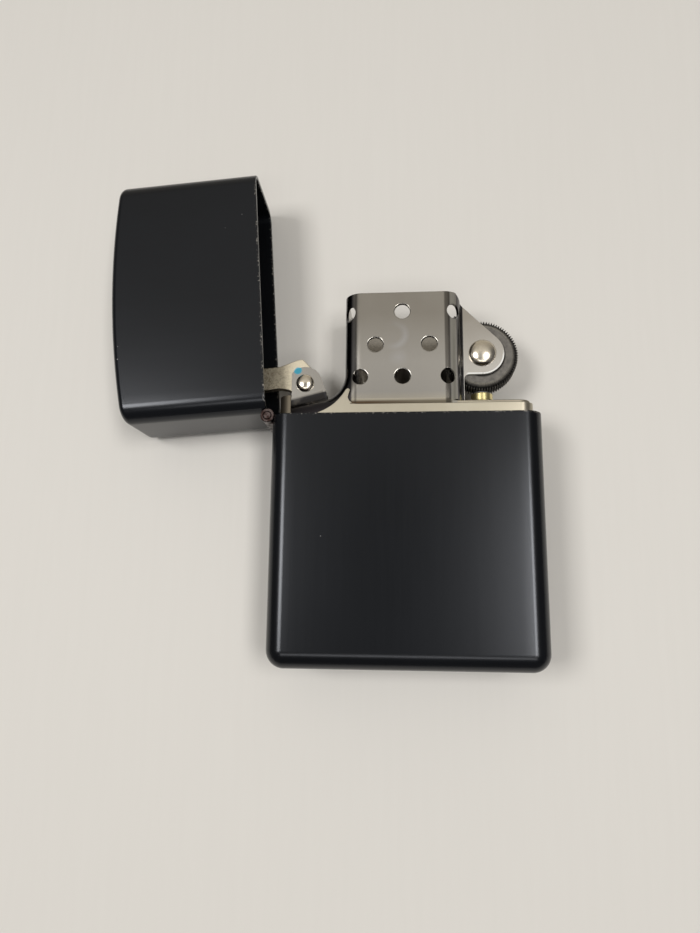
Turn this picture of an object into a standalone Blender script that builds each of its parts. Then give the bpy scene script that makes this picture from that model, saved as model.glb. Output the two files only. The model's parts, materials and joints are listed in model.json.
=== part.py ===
"""Flip-top windproof pocket lighter, drawn with its lid open, as separate sub-parts.

The lighter stands upright: +Z up, its front face towards -Y, its lid hinged on the
-X side. The origin is the centre of the case's base. Lengths are in metres.
"""
import math

import bmesh
import bpy
from mathutils import Matrix, Vector

MM = 0.001
SOLID_GAP = 0.06 * MM           # between pieces that touch on the real object
FOREVER = 10 * MM               # how far a through cutter runs past a wall

# Outer case and lid
CASE_W = 38.0 * MM
CASE_D = 13.0 * MM
CASE_H = 35.0 * MM
CASE_WALL = 0.7 * MM
CORNER_R = 2.0 * MM
BASE_EDGE_R = 1.8 * MM
LID_H = 22.7 * MM               # at the middle of the domed top
LID_DOME = 1.43 * MM
LID_EDGE_R = 0.95 * MM
LID_OPEN = math.radians(94.15)

# Lid hinge
HINGE_X = -19.61 * MM
HINGE_Z = 34.95 * MM
BARREL_R = 1.0 * MM
BARREL_HALF = 5.5 * MM
KNUCKLES = 5
PIN_R = 0.5 * MM
PIN_BORE_R = 0.56 * MM
LEAF_T = 0.25 * MM
LEAF_HALF = 4.4 * MM
LEAF_LEN = 5.5 * MM

# Insert body
INSERT_HX = 17.95 * MM
INSERT_HY = 5.7 * MM
INSERT_WALL = 0.45 * MM
INSERT_CORNER_R = 1.8 * MM
INSERT_Z0 = 1.6 * MM
RIM_Z = 36.4 * MM               # top edge of the insert body beside the chimney
POST_Z = 37.8 * MM              # its raised end beside the cam
NOTCH_Z = 34.8 * MM             # its cut-away under the cam ears

# Chimney
CH_X0 = -8.65 * MM
CH_X1 = 8.15 * MM
CH_HY = 5.5 * MM
CH_R = 2.5 * MM
CH_TOP = 53.2 * MM
SHEET = 0.4 * MM
CHEEK_Y = 2.5 * MM              # outer face of each wheel cheek
BEND_R = 0.5 * MM
PLATE_Z = 36.45 * MM
PLATE_HY = 5.45 * MM
PLATE_X1 = 17.6 * MM
RAMP_R = 4.0 * MM
RAMP_HY = 5.2 * MM
RAMP_SLOPE = math.radians(14.4)
RAMP_X0 = -17.0 * MM
HOLE_R = 1.105 * MM

# Striker wheel and flint column
WHEEL_X = 11.35 * MM
WHEEL_Z = 44.75 * MM
WHEEL_R = 5.3 * MM
WHEEL_HY = 1.85 * MM
WHEEL_TEETH = 60
TOOTH_DEPTH = 0.16 * MM
AXLE_R = 1.0 * MM
CHEEK_R = 3.15 * MM
TUBE_R = 1.6 * MM
TUBE_BORE_R = 1.25 * MM
TUBE_Z0 = 2.8 * MM
TUBE_Z1 = 39.1 * MM
FLINT_R = 1.15 * MM
FLINT_LEN = 5.0 * MM
SCREW_HEAD_R = 1.9 * MM
SPRING_R = 0.93 * MM
SPRING_WIRE = 0.16 * MM
SPRING_TURNS = 13
SPRING_Z0 = 7.35 * MM

# Cam and its ears
CAM_X = -14.88 * MM
CAM_Z = 40.95 * MM
CAM_HY = 0.7 * MM
CAM_AXLE_R = 0.6 * MM
EAR_IN = 0.85 * MM
EAR_T = 0.45 * MM
EAR_R = 2.55 * MM
SPRING_RIVET_Z = 26.5 * MM

# Fuel parts
WICK_X = -0.5 * MM
WICK_R = 1.35 * MM
WICK_TOP = 43.2 * MM
WICK_LEFT = -15.3 * MM
WICK_RIGHT = 7.6 * MM
RUN_TOP_Z = 34.0 * MM
RUN_PITCH = 6.4 * MM
WAD_GAP = 0.2 * MM
FELT_Z0 = 1.8 * MM
FELT_Z1 = 3.6 * MM

ALONG_X = Matrix.Rotation(math.pi / 2, 4, "Y")
ALONG_Y = Matrix.Rotation(-math.pi / 2, 4, "X")
XZ_PLANE = Matrix.Rotation(math.pi / 2, 4, "X")
OPENING = Matrix.Rotation(-LID_OPEN, 4, "Y")


# ---------------------------------------------------------------- scene and objects
def clear_scene():
    for obj in list(bpy.data.objects):
        bpy.data.objects.remove(obj, do_unlink=True)


def new_collection(name):
    collection = bpy.data.collections.new(name)
    bpy.context.scene.collection.children.link(collection)
    return collection


def material(name, color, roughness, metallic):
    mat = bpy.data.materials.new(name)
    mat.use_nodes = True
    shader = mat.node_tree.nodes["Principled BSDF"]
    shader.inputs["Base Color"].default_value = (*color, 1.0)
    shader.inputs["Roughness"].default_value = roughness
    shader.inputs["Metallic"].default_value = metallic
    return mat


def mesh_object(name, bm):
    """Turn a bmesh into an object whose faces point outwards."""
    bmesh.ops.recalc_face_normals(bm, faces=bm.faces)
    mesh = bpy.data.meshes.new(name)
    bm.to_mesh(mesh)
    bm.free()
    return bpy.data.objects.new(name, mesh)


def add_part(obj, mat):
    obj.data.materials.append(mat)
    PARTS.objects.link(obj)
    for polygon in obj.data.polygons:
        polygon.use_smooth = True
    obj.data.set_sharp_from_angle(angle=math.radians(35))
    return obj


def add_cutter(obj):
    obj.hide_render = True
    obj.display_type = "WIRE"
    CUTTERS.objects.link(obj)
    return obj


def boolean(obj, other, operation):
    modifier = obj.modifiers.new(operation.lower(), "BOOLEAN")
    modifier.operation = operation
    modifier.solver = "EXACT"
    modifier.object = other


def cut(obj, other):
    boolean(obj, add_cutter(other), "DIFFERENCE")


def join(obj, other):
    boolean(obj, add_cutter(other), "UNION")


def solidify(obj, thickness, offset=-1.0):
    modifier = obj.modifiers.new("thickness", "SOLIDIFY")
    modifier.thickness = thickness
    modifier.offset = offset
    modifier.use_even_offset = True


# ---------------------------------------------------------------- shapes
def box(name, low, high):
    bm = bmesh.new()
    bmesh.ops.create_cube(bm, size=1.0)
    size = Vector(high) - Vector(low)
    bmesh.ops.scale(bm, vec=size, verts=bm.verts)
    bmesh.ops.translate(bm, vec=(Vector(high) + Vector(low)) / 2, verts=bm.verts)
    return mesh_object(name, bm)


def cylinder(name, radius, half_length, centre, turn=Matrix(), segments=24):
    """A cylinder along local Z, turned by a matrix and moved to its centre."""
    bm = bmesh.new()
    bmesh.ops.create_cone(bm, cap_ends=True, segments=segments, radius1=radius,
                          radius2=radius, depth=2 * half_length)
    obj = mesh_object(name, bm)
    obj.matrix_world = Matrix.Translation(centre) @ turn
    return obj


def turned(name, profile, centre, turn=Matrix(), segments=24, closed=False):
    """Turn a profile of (radius, height) points, listed from top to bottom, about Z."""
    bm = bmesh.new()
    verts = [bm.verts.new((radius, 0.0, height)) for radius, height in profile]
    for first, second in zip(verts, verts[1:]):
        bm.edges.new((first, second))
    if closed:
        bm.edges.new((verts[-1], verts[0]))
    mesh = bpy.data.meshes.new(name)
    bm.to_mesh(mesh)
    bm.free()
    obj = bpy.data.objects.new(name, mesh)
    screw = obj.modifiers.new("turn", "SCREW")
    screw.axis = "Z"
    screw.steps = segments
    screw.render_steps = segments
    screw.use_merge_vertices = True
    screw.merge_threshold = 0.00001
    screw.use_smooth_shade = True
    obj.matrix_world = Matrix.Translation(centre) @ turn
    return obj


def ring_profile(inner, outer, bottom, top):
    return [(outer, top), (outer, bottom), (inner, bottom), (inner, top)]


def arc(cx, cy, radius, start_deg, end_deg, steps):
    """Points on an arc, both ends included."""
    points = []
    for i in range(steps + 1):
        angle = math.radians(start_deg + (end_deg - start_deg) * i / steps)
        points.append((cx + radius * math.cos(angle), cy + radius * math.sin(angle)))
    return points


def without_repeats(points):
    """The same points, with one kept where two arcs meet."""
    kept = [points[0]]
    for point in points[1:]:
        if math.dist(point, kept[-1]) > 0.001 * MM:
            kept.append(point)
    return kept


def rounded_rectangle(x0, x1, half_y, radius, steps=4):
    points = arc(x1 - radius, half_y - radius, radius, 0, 90, steps)
    points += arc(x0 + radius, half_y - radius, radius, 90, 180, steps)
    points += arc(x0 + radius, radius - half_y, radius, 180, 270, steps)
    points += arc(x1 - radius, radius - half_y, radius, 270, 360, steps)
    return points


def plate(name, outline, low, high, frame=Matrix()):
    """A flat plate between two heights of its frame, cut to an outline."""
    curve = bpy.data.curves.new(name, "CURVE")
    curve.dimensions = "2D"
    curve.fill_mode = "BOTH"
    curve.extrude = (high - low) / 2
    outline = without_repeats(outline)
    spline = curve.splines.new("POLY")
    spline.points.add(len(outline) - 1)
    for point, (x, y) in zip(spline.points, outline):
        point.co = (x, y, 0.0, 1.0)
    spline.use_cyclic_u = True
    guide = bpy.data.objects.new(name + "_outline", curve)
    guide.matrix_world = frame @ Matrix.Translation((0, 0, (high + low) / 2))
    return as_mesh(name, guide)


def as_mesh(name, guide):
    """Replace a curve object by the closed mesh it makes."""
    CUTTERS.objects.link(guide)
    bpy.context.view_layer.update()
    depsgraph = bpy.context.evaluated_depsgraph_get()
    mesh = bpy.data.meshes.new_from_object(guide.evaluated_get(depsgraph))
    bm = bmesh.new()
    bm.from_mesh(mesh)
    bmesh.ops.remove_doubles(bm, verts=bm.verts, dist=0.000001)
    bmesh.ops.recalc_face_normals(bm, faces=bm.faces)
    bm.to_mesh(mesh)
    bm.free()
    mesh.name = name
    obj = bpy.data.objects.new(name, mesh)
    obj.matrix_world = guide.matrix_world
    bpy.data.objects.remove(guide, do_unlink=True)
    return obj


def wire(name, points, radius, resolution):
    """A round wire or cord along a line of points."""
    curve = bpy.data.curves.new(name, "CURVE")
    curve.dimensions = "3D"
    curve.bevel_depth = radius
    curve.bevel_resolution = resolution
    curve.use_fill_caps = True
    spline = curve.splines.new("POLY")
    spline.points.add(len(points) - 1)
    for vertex, point in zip(spline.points, points):
        vertex.co = (*point, 1.0)
    return as_mesh(name, bpy.data.objects.new(name + "_path", curve))


def wall_ribbon(name, outline, z0, z1, cyclic):
    """An upright open sheet that follows an outline in plan."""
    bm = bmesh.new()
    low = [bm.verts.new((x, y, z0)) for x, y in without_repeats(outline)]
    edges = [bm.edges.new(pair) for pair in zip(low, low[1:])]
    if cyclic:
        edges.append(bm.edges.new((low[-1], low[0])))
    made = bmesh.ops.extrude_edge_only(bm, edges=edges)["geom"]
    raised = [item for item in made if isinstance(item, bmesh.types.BMVert)]
    bmesh.ops.translate(bm, vec=(0, 0, z1 - z0), verts=raised)
    return mesh_object(name, bm)


def edges_between(bm, test_a, test_b):
    """Edges whose two faces pass one test each."""
    found = []
    for edge in bm.edges:
        if len(edge.link_faces) != 2:
            continue
        a, b = edge.link_faces
        if (test_a(a) and test_b(b)) or (test_a(b) and test_b(a)):
            found.append(edge)
    return found


def bevel(bm, edges, width, segments):
    bmesh.ops.bevel(bm, geom=edges, offset=width, offset_type="OFFSET", segments=segments,
                    profile=0.5, affect="EDGES", clamp_overlap=True)


def rounded_block(name, low, high, radius, segments):
    """A soft block: a box with every edge rounded."""
    obj = box(name, low, high)
    modifier = obj.modifiers.new("rounding", "BEVEL")
    modifier.width = radius
    modifier.segments = segments
    return obj


def can(z_open, z_closed, end_radius, dome, strips):
    """A rectangular can with rounded corners, open at one end and domed at the other."""
    bm = bmesh.new()
    bmesh.ops.create_cube(bm, size=1.0)
    bmesh.ops.scale(bm, vec=(CASE_W, CASE_D, abs(z_closed - z_open)), verts=bm.verts)
    bmesh.ops.translate(bm, vec=(0, 0, (z_closed + z_open) / 2), verts=bm.verts)
    upright = [e for e in bm.edges if abs(e.verts[0].co.z - e.verts[1].co.z) > MM]
    bevel(bm, upright, CORNER_R, 5)
    for i in range(1, strips):
        x = CASE_W * (i / strips - 0.5)
        geometry = list(bm.verts) + list(bm.edges) + list(bm.faces)
        bmesh.ops.bisect_plane(bm, geom=geometry, plane_co=(x, 0, 0), plane_no=(1, 0, 0))
    away = 1.0 if z_closed > z_open else -1.0
    for vert in bm.verts:
        if abs(vert.co.z - z_closed) < 0.01 * MM:
            vert.co.z -= away * dome * (2 * vert.co.x / CASE_W) ** 2
    bm.normal_update()
    open_end = [f for f in bm.faces if f.normal.z * away < -0.9]
    rim_edges = edges_between(bm, lambda f: f.normal.z * away > 0.9,
                              lambda f: abs(f.normal.z) < 0.5)
    bmesh.ops.delete(bm, geom=open_end, context="FACES_ONLY")
    bevel(bm, rim_edges, end_radius, 4)
    return bm


# ---------------------------------------------------------------- case, lid and hinge
def hinge_clearance(name, leaf_side):
    """Cutters for the barrel and for the leaf that steps through the wall."""
    barrel = cylinder(name + "_barrel", BARREL_R + 2 * SOLID_GAP, BARREL_HALF + 2 * SOLID_GAP,
                      (HINGE_X, 0, HINGE_Z), ALONG_Y)
    reach = BARREL_R + SOLID_GAP
    z_far = HINGE_Z + leaf_side * reach
    low = (HINGE_X, -LEAF_HALF - SOLID_GAP, min(z_far, HINGE_Z))
    high = (HINGE_X + 1.5 * MM, LEAF_HALF + SOLID_GAP, max(z_far, HINGE_Z))
    return barrel, box(name + "_leaf", low, high)


def build_case(mat):
    case = mesh_object("case_bottom", can(CASE_H, 0.0, BASE_EDGE_R, 0.0, 1))
    solidify(case, CASE_WALL)
    for cutter in hinge_clearance("case_notch", -1):
        cut(case, cutter)
    add_part(case, mat)


def swing_open(obj):
    """Put a piece drawn with the lid shut onto the hinge axis, and open it."""
    to_axis = Matrix.Translation((-HINGE_X, 0, -HINGE_Z))
    obj.data.transform(to_axis @ obj.matrix_world)
    obj.matrix_world = Matrix.Translation((HINGE_X, 0, HINGE_Z)) @ OPENING


def build_lid(mat):
    top = CASE_H + LID_H
    lid = mesh_object("lid", can(CASE_H + SOLID_GAP, top, LID_EDGE_R, LID_DOME, 12))
    solidify(lid, CASE_WALL)
    swing_open(lid)
    for cutter in hinge_clearance("lid_notch", 1):
        swing_open(cutter)
        cut(lid, cutter)
    add_part(lid, mat)


def leaf_solid(name, side, knuckles):
    """A leaf: a plate inside the wall, with tongues that curl into knuckles."""
    inner = -CASE_W / 2 + CASE_WALL + SOLID_GAP / 2
    near = HINGE_Z + side * (BARREL_R - LEAF_T)
    far = HINGE_Z + side * (BARREL_R + LEAF_LEN)
    leaf = box(name, (inner, -LEAF_HALF, min(near, far)),
               (inner + LEAF_T, LEAF_HALF, max(near, far)))
    pieces = []
    pitch = 2 * BARREL_HALF / KNUCKLES
    for k in knuckles:
        y0 = -BARREL_HALF + k * pitch + SOLID_GAP / 2
        y1 = y0 + pitch - SOLID_GAP
        barrel = cylinder(f"{name}_knuckle_{k}", BARREL_R, (y1 - y0) / 2,
                          (HINGE_X, (y0 + y1) / 2, HINGE_Z), ALONG_Y)
        edge = HINGE_Z + side * (BARREL_R - 0.01 * MM)
        tongue = box(f"{name}_tongue_{k}",
                     (HINGE_X, max(y0, -LEAF_HALF + 0.02 * MM), min(near, edge)),
                     (inner + LEAF_T / 2, min(y1, LEAF_HALF - 0.02 * MM), max(near, edge)))
        pieces += [barrel, tongue]
    return leaf, pieces


def build_hinge(mat):
    half = BARREL_HALF + 1.0 * MM
    for name, side, knuckles in (("hinge_lower_leaf", -1, (0, 2, 4)),
                                 ("hinge_upper_leaf", 1, (1, 3))):
        leaf, pieces = leaf_solid(name, side, knuckles)
        bore = cylinder(name + "_bore", PIN_BORE_R, half, (HINGE_X, 0, HINGE_Z), ALONG_Y)
        if side > 0:
            for piece in [leaf, *pieces, bore]:
                swing_open(piece)
        for piece in pieces:
            join(leaf, piece)
        cut(leaf, bore)
        add_part(leaf, mat)
    pin = cylinder("hinge_pin", PIN_R, BARREL_HALF, (HINGE_X, 0, HINGE_Z), ALONG_Y)
    add_part(pin, mat)


# ---------------------------------------------------------------- insert body
def insert_top_outline():
    """Everything above the insert body's top edge, in the XZ plane."""
    roof = CH_TOP
    points = [(-INSERT_HX - MM, roof), (-INSERT_HX - MM, POST_Z), (-16.2 * MM, POST_Z)]
    points += [(-16.2 * MM, NOTCH_Z), (-13.2 * MM, NOTCH_Z)]
    points += arc(-14.5 * MM, 41.9 * MM, 7.0 * MM, -70, -27, 5)
    points += arc(-6.8 * MM, 37.7 * MM, 1.3 * MM, 180, 270, 4)
    points += [(INSERT_HX + MM, RIM_Z), (INSERT_HX + MM, roof)]
    return points


def build_insert_case(mat):
    outline = rounded_rectangle(-INSERT_HX, INSERT_HX, INSERT_HY, INSERT_CORNER_R)
    body = wall_ribbon("insert_case", outline, INSERT_Z0, POST_Z + MM, cyclic=True)
    solidify(body, INSERT_WALL)
    cut(body, plate("insert_top_cut", insert_top_outline(), -FOREVER, FOREVER, XZ_PLANE))
    cut(body, cylinder("insert_rivet_hole", CAM_AXLE_R + SOLID_GAP, MM,
                       (-INSERT_HX, 0, SPRING_RIVET_Z), ALONG_X))
    add_part(body, mat)


# ---------------------------------------------------------------- chimney
def chimney_plan():
    """The outer line of the chimney wall in plan, from front cheek to back cheek."""
    front = [(WHEEL_X + CHEEK_R + MM, -CHEEK_Y)]
    front += arc(CH_X1 + BEND_R, -CHEEK_Y - BEND_R, BEND_R, 90, 180, 3)
    front += arc(CH_X1 - CH_R, CH_R - CH_HY, CH_R, 0, -90, 5)
    front += arc(CH_X0 + CH_R, CH_R - CH_HY, CH_R, 270, 180, 5)
    return front + [(x, -y) for x, y in reversed(front)]


def chimney_side():
    """The side outline that the chimney wall and its cheeks are trimmed to."""
    diagonal = (WHEEL_X + WHEEL_Z) + CHEEK_R * math.sqrt(2)
    left = CH_X0 - MM
    foot = CH_X1 + BEND_R
    fillet = 0.8 * MM
    cheek_low = WHEEL_Z - CHEEK_R
    points = [(left, PLATE_Z - MM), (foot, PLATE_Z - MM)]
    points += arc(foot + fillet, cheek_low - fillet, fillet, 180, 90, 4)
    points += arc(WHEEL_X, WHEEL_Z, CHEEK_R, -90, 45, 10)
    points += [(diagonal - CH_TOP - MM, CH_TOP + MM), (left, CH_TOP + MM)]
    return points


def ramp_path():
    """The ramp's top line, from the chimney's end wall down to the cam, in XZ."""
    cx = CH_X0 - RAMP_R
    cz = 41.47 * MM
    end_deg = -90 + math.degrees(RAMP_SLOPE)
    points = arc(cx, cz, RAMP_R + 0.05 * MM, 0, end_deg, 8)
    x, z = points[-1]
    points.append((RAMP_X0, z - (x - RAMP_X0) * math.tan(RAMP_SLOPE)))
    return points


def build_ramp():
    """A sheet along the ramp's path, rounded down at its front and back edges."""
    path = ramp_path()
    flat = RAMP_HY - CH_R
    sections = [(-flat - CH_R * math.sin(a), CH_R - CH_R * math.cos(a))
                for a in (math.radians(d) for d in (84, 63, 42, 21, 0))]
    sections += [(-y, drop) for y, drop in reversed(sections)]
    bm = bmesh.new()
    rows = []
    for i, (x, z) in enumerate(path):
        before = Vector(path[max(i - 1, 0)])
        after = Vector(path[min(i + 1, len(path) - 1)])
        along = (after - before).normalized()
        inward = Vector((-along.y, along.x))
        rows.append([bm.verts.new((x + inward.x * drop, y, z + inward.y * drop))
                     for y, drop in sections])
    for row, below in zip(rows, rows[1:]):
        for k in range(len(sections) - 1):
            bm.faces.new((row[k], below[k], below[k + 1], row[k + 1]))
    ramp = mesh_object("ramp", bm)
    solidify(ramp, SHEET)
    return ramp


def ear_outline():
    """A cam ear: an arch about the rivet on a foot that stands in the ramp."""
    left = -16.87 * MM
    right_foot = -11.4 * MM
    foot_left = 36.1 * MM
    foot_right = foot_left + (right_foot - left) * math.tan(RAMP_SLOPE)
    start = math.degrees(math.acos((left - CAM_X) / EAR_R))
    points = [(left, foot_left)]
    points += arc(CAM_X, CAM_Z, EAR_R, start, 12, 9)
    points += [(right_foot, foot_right)]
    return points


def punch_holes(chimney):
    """Three rows of vent holes in the front wall and again in the back wall."""
    middle = -0.3 * MM
    rows = ((50.26, ((-7.45, 40), (0, 0), (7.45, -27))), (45.24, ((-3.86, 0), (3.86, 0))),
            (40.45, ((-6.1, 0), (0, 0), (6.3, -12))))
    for row, (z, holes) in enumerate(rows):
        for column, (x, lean_deg) in enumerate(holes):
            for side in (-1, 1):
                lean = Matrix.Rotation(side * math.radians(lean_deg), 4, "Z")
                name = f"vent_{row}_{column}_{'front' if side < 0 else 'back'}"
                centre = (middle + x * MM, side * (CH_HY - 0.5 * MM), z * MM)
                cut(chimney, cylinder(name, HOLE_R, 1.2 * MM, centre, lean @ ALONG_Y, 16))


def build_chimney(mat):
    chimney = wall_ribbon("chimney", chimney_plan(), PLATE_Z + 0.05 * MM, CH_TOP, cyclic=False)
    solidify(chimney, SHEET)
    boolean(chimney, add_cutter(plate("chimney_side", chimney_side(), -FOREVER, FOREVER,
                                      XZ_PLANE)), "INTERSECT")
    plan = rounded_rectangle(CH_X0 + 0.15 * MM, PLATE_X1, PLATE_HY, INSERT_CORNER_R)
    join(chimney, plate("top_plate", plan, PLATE_Z, PLATE_Z + SHEET))
    join(chimney, build_ramp())
    for side in (-1, 1):
        faces = sorted((side * EAR_IN, side * (EAR_IN + EAR_T)))
        low, high = -faces[1], -faces[0]
        join(chimney, plate(f"ear_{side}", ear_outline(), low, high, XZ_PLANE))
        tab_y = sorted((side * 4.85 * MM, side * 5.2 * MM))
        join(chimney, box(f"tab_{side}", (-6 * MM, tab_y[0], 34.5 * MM),
                          (15 * MM, tab_y[1], PLATE_Z + SHEET / 2)))
    punch_holes(chimney)
    cut(chimney, cylinder("wheel_axle_holes", AXLE_R + SOLID_GAP, 4 * MM,
                          (WHEEL_X, 0, WHEEL_Z), ALONG_Y))
    cut(chimney, cylinder("cam_axle_holes", CAM_AXLE_R + SOLID_GAP, 2 * MM,
                          (CAM_X, 0, CAM_Z), ALONG_Y))
    cut(chimney, cylinder("wick_hole", WICK_R + 0.4 * MM, MM, (WICK_X, 0, PLATE_Z)))
    cut(chimney, cylinder("flint_tube_hole", TUBE_R + SOLID_GAP, MM, (WHEEL_X, 0, PLATE_Z)))
    cut(chimney, box("cam_slot", (RAMP_X0 - MM, -0.8 * MM, 34 * MM),
                     (-12.3 * MM, 0.8 * MM, 38.5 * MM)))
    add_part(chimney, mat)


# ---------------------------------------------------------------- cam
def cam_outline():
    """The cam about its rivet: an arm to the left, a peak above and a round heel."""
    points = [(-6.35, 2.62), (-4.0, 2.85), (-2.5, 3.4), (-1.0, 3.97), (-0.4, 3.96)]
    points += [(0.6, 2.78), (1.7, 1.45)]
    points += arc(0, 0, 2.2, 30, -150, 9)
    points += [(-2.6, -0.8), (-4.0, -0.58), (-5.2, -0.72), (-6.4, -0.88)]
    points += arc(-6.6, 0.9, 1.75, 265, 95, 7)
    return [(x * MM, z * MM) for x, z in points]


def build_cam(mat):
    frame = Matrix.Translation((CAM_X, 0, CAM_Z)) @ XZ_PLANE
    cam = plate("cam", cam_outline(), -CAM_HY, CAM_HY, frame)
    cut(cam, cylinder("cam_bore", CAM_AXLE_R + SOLID_GAP, 2 * MM, (CAM_X, 0, CAM_Z), ALONG_Y))
    add_part(cam, mat)


def rivet_profile(shaft_r, head_r, head_h, half_length):
    """A rivet with a domed head at each end, from top to bottom."""
    dome = []
    for i in range(6):
        angle = math.radians(90 - 18 * i)
        dome.append((head_r * math.cos(angle), half_length + head_h * math.sin(angle)))
    dome[0] = (0.0, dome[0][1])
    half = dome + [(shaft_r, half_length)]
    return half + [(r, -z) for r, z in reversed(half)]


def build_rivets(mat):
    ear_face = EAR_IN + EAR_T + SOLID_GAP
    cam_profile = rivet_profile(CAM_AXLE_R, 1.2 * MM, 0.6 * MM, ear_face)
    add_part(turned("cam_rivet", cam_profile, (CAM_X, 0, CAM_Z), ALONG_Y, 20), mat)
    cheek_face = CHEEK_Y + SOLID_GAP
    axle_profile = rivet_profile(AXLE_R, 1.87 * MM, 0.85 * MM, cheek_face)
    add_part(turned("wheel_rivet", axle_profile, (WHEEL_X, 0, WHEEL_Z), ALONG_Y, 24), mat)


# ---------------------------------------------------------------- cam spring
def build_cam_spring(mat, rivet_mat):
    """A strip that stands against the insert's end wall and curls under the cam."""
    wall_x = -17.3 * MM
    path = [(wall_x, 25.0 * MM), (wall_x, 33.0 * MM), (wall_x, 35.0 * MM)]
    path += arc(wall_x + MM, 37.2 * MM, MM, 180, 90, 5)
    path += [(-14.2 * MM, 38.25 * MM), (-12.9 * MM, 38.0 * MM)]
    bm = bmesh.new()
    rows = []
    for x, z in path:
        half = 1.5 * MM if z < 34.0 * MM else 0.65 * MM
        rows.append((bm.verts.new((x, -half, z)), bm.verts.new((x, half, z))))
    for (a, b), (c, d) in zip(rows, rows[1:]):
        bm.faces.new((a, b, d, c))
    spring = mesh_object("cam_spring", bm)
    solidify(spring, 0.25 * MM, offset=0.0)
    cut(spring, cylinder("cam_spring_hole", CAM_AXLE_R + SOLID_GAP, MM,
                         (wall_x, 0, SPRING_RIVET_Z), ALONG_X))
    add_part(spring, mat)
    outside = -INSERT_HX - SOLID_GAP / 2
    inside = wall_x + 0.125 * MM + SOLID_GAP / 2
    profile = [(0.0, inside + 0.28 * MM), (0.7 * MM, inside + 0.2 * MM), (1.1 * MM, inside)]
    profile += [(CAM_AXLE_R, inside), (CAM_AXLE_R, outside), (1.1 * MM, outside)]
    profile += [(0.8 * MM, outside - 0.2 * MM), (0.0, outside - 0.22 * MM)]
    add_part(turned("cam_spring_rivet", profile, (0, 0, SPRING_RIVET_Z), ALONG_X, 20),
             rivet_mat)


# ---------------------------------------------------------------- striker wheel and flint
def build_striker_wheel(mat):
    points = []
    for i in range(WHEEL_TEETH):
        for radius, shift in ((WHEEL_R, 0.0), (WHEEL_R - TOOTH_DEPTH, 0.35)):
            angle = 2 * math.pi * (i + shift) / WHEEL_TEETH
            points.append((radius * math.cos(angle), radius * math.sin(angle)))
    frame = Matrix.Translation((WHEEL_X, 0, WHEEL_Z)) @ XZ_PLANE
    wheel = plate("striker_wheel", points, -WHEEL_HY, WHEEL_HY, frame)
    cut(wheel, cylinder("wheel_bore", AXLE_R + SOLID_GAP, 3 * MM, (WHEEL_X, 0, WHEEL_Z),
                        ALONG_Y))
    add_part(wheel, mat)


def build_flint_column(brass, steel, flint_mat):
    axis = (WHEEL_X, 0, 0)
    tube = ring_profile(TUBE_BORE_R, TUBE_R, TUBE_Z0, TUBE_Z1)
    add_part(turned("flint_tube", tube, axis, closed=True), brass)
    seat = PLATE_Z + SHEET + SOLID_GAP
    inner = TUBE_R + SOLID_GAP
    collar = [(1.95 * MM, seat + 1.1 * MM), (1.95 * MM, seat + 0.45 * MM)]
    collar += [(2.35 * MM, seat + 0.45 * MM), (2.35 * MM, seat), (inner, seat)]
    collar += [(inner, seat + 1.1 * MM)]
    add_part(turned("flint_tube_collar", collar, axis, closed=True), brass)
    tip = WHEEL_Z - WHEEL_R - SOLID_GAP
    foot = tip - FLINT_LEN
    flint = [(0.0, tip), (FLINT_R, tip), (FLINT_R, foot), (0.0, foot)]
    add_part(turned("flint", flint, axis), flint_mat)
    head = foot - SOLID_GAP
    plunger = [(0.0, head), (FLINT_R, head), (FLINT_R, head - 1.4 * MM)]
    plunger += [(0.55 * MM, head - 1.4 * MM), (0.55 * MM, head - 2.8 * MM)]
    plunger += [(0.0, head - 2.8 * MM)]
    add_part(turned("flint_plunger", plunger, axis), brass)
    build_flint_spring(steel, head - 1.4 * MM - SOLID_GAP)
    build_flint_screw(brass)


def build_flint_spring(mat, top):
    """A compression spring between the screw's nose and the plunger."""
    steps = 12
    low = SPRING_Z0 + SPRING_WIRE
    rise = top - SPRING_WIRE - low
    points = []
    for i in range(SPRING_TURNS * steps + 1):
        angle = 2 * math.pi * i / steps
        height = low + rise * i / (SPRING_TURNS * steps)
        points.append((WHEEL_X + SPRING_R * math.cos(angle), SPRING_R * math.sin(angle), height))
    add_part(wire("flint_spring", points, SPRING_WIRE, 1), mat)


def build_flint_screw(mat):
    """The slotted screw that closes the tube and carries the spring."""
    head_low = FELT_Z0
    head_top = TUBE_Z0 - SOLID_GAP
    shoulder = SPRING_Z0 - SOLID_GAP
    profile = [(0.0, shoulder + 1.6 * MM), (0.55 * MM, shoulder + 1.6 * MM)]
    profile += [(0.55 * MM, shoulder), (FLINT_R, shoulder), (FLINT_R, head_top)]
    profile += [(SCREW_HEAD_R, head_top), (SCREW_HEAD_R, head_low), (0.0, head_low)]
    screw = turned("flint_screw", profile, (WHEEL_X, 0, 0))
    cut(screw, box("screw_slot", (WHEEL_X - 0.3 * MM, -3 * MM, 0),
                   (WHEEL_X + 0.3 * MM, 3 * MM, head_low + 0.5 * MM)))
    add_part(screw, mat)


# ---------------------------------------------------------------- wick, wads and felt
def wick_line():
    """The wick's corners: down from the flame, then back and forth between the wads."""
    corners = [(WICK_X, WICK_TOP), (WICK_X, RUN_TOP_Z)]
    z = RUN_TOP_Z
    for side in (WICK_RIGHT, WICK_LEFT, WICK_RIGHT, WICK_LEFT):
        corners += [(side, z), (side, z - RUN_PITCH)]
        z -= RUN_PITCH
    corners.append((4.0 * MM, z))
    return [Vector((x, 0, z)) for x, z in corners]


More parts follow.
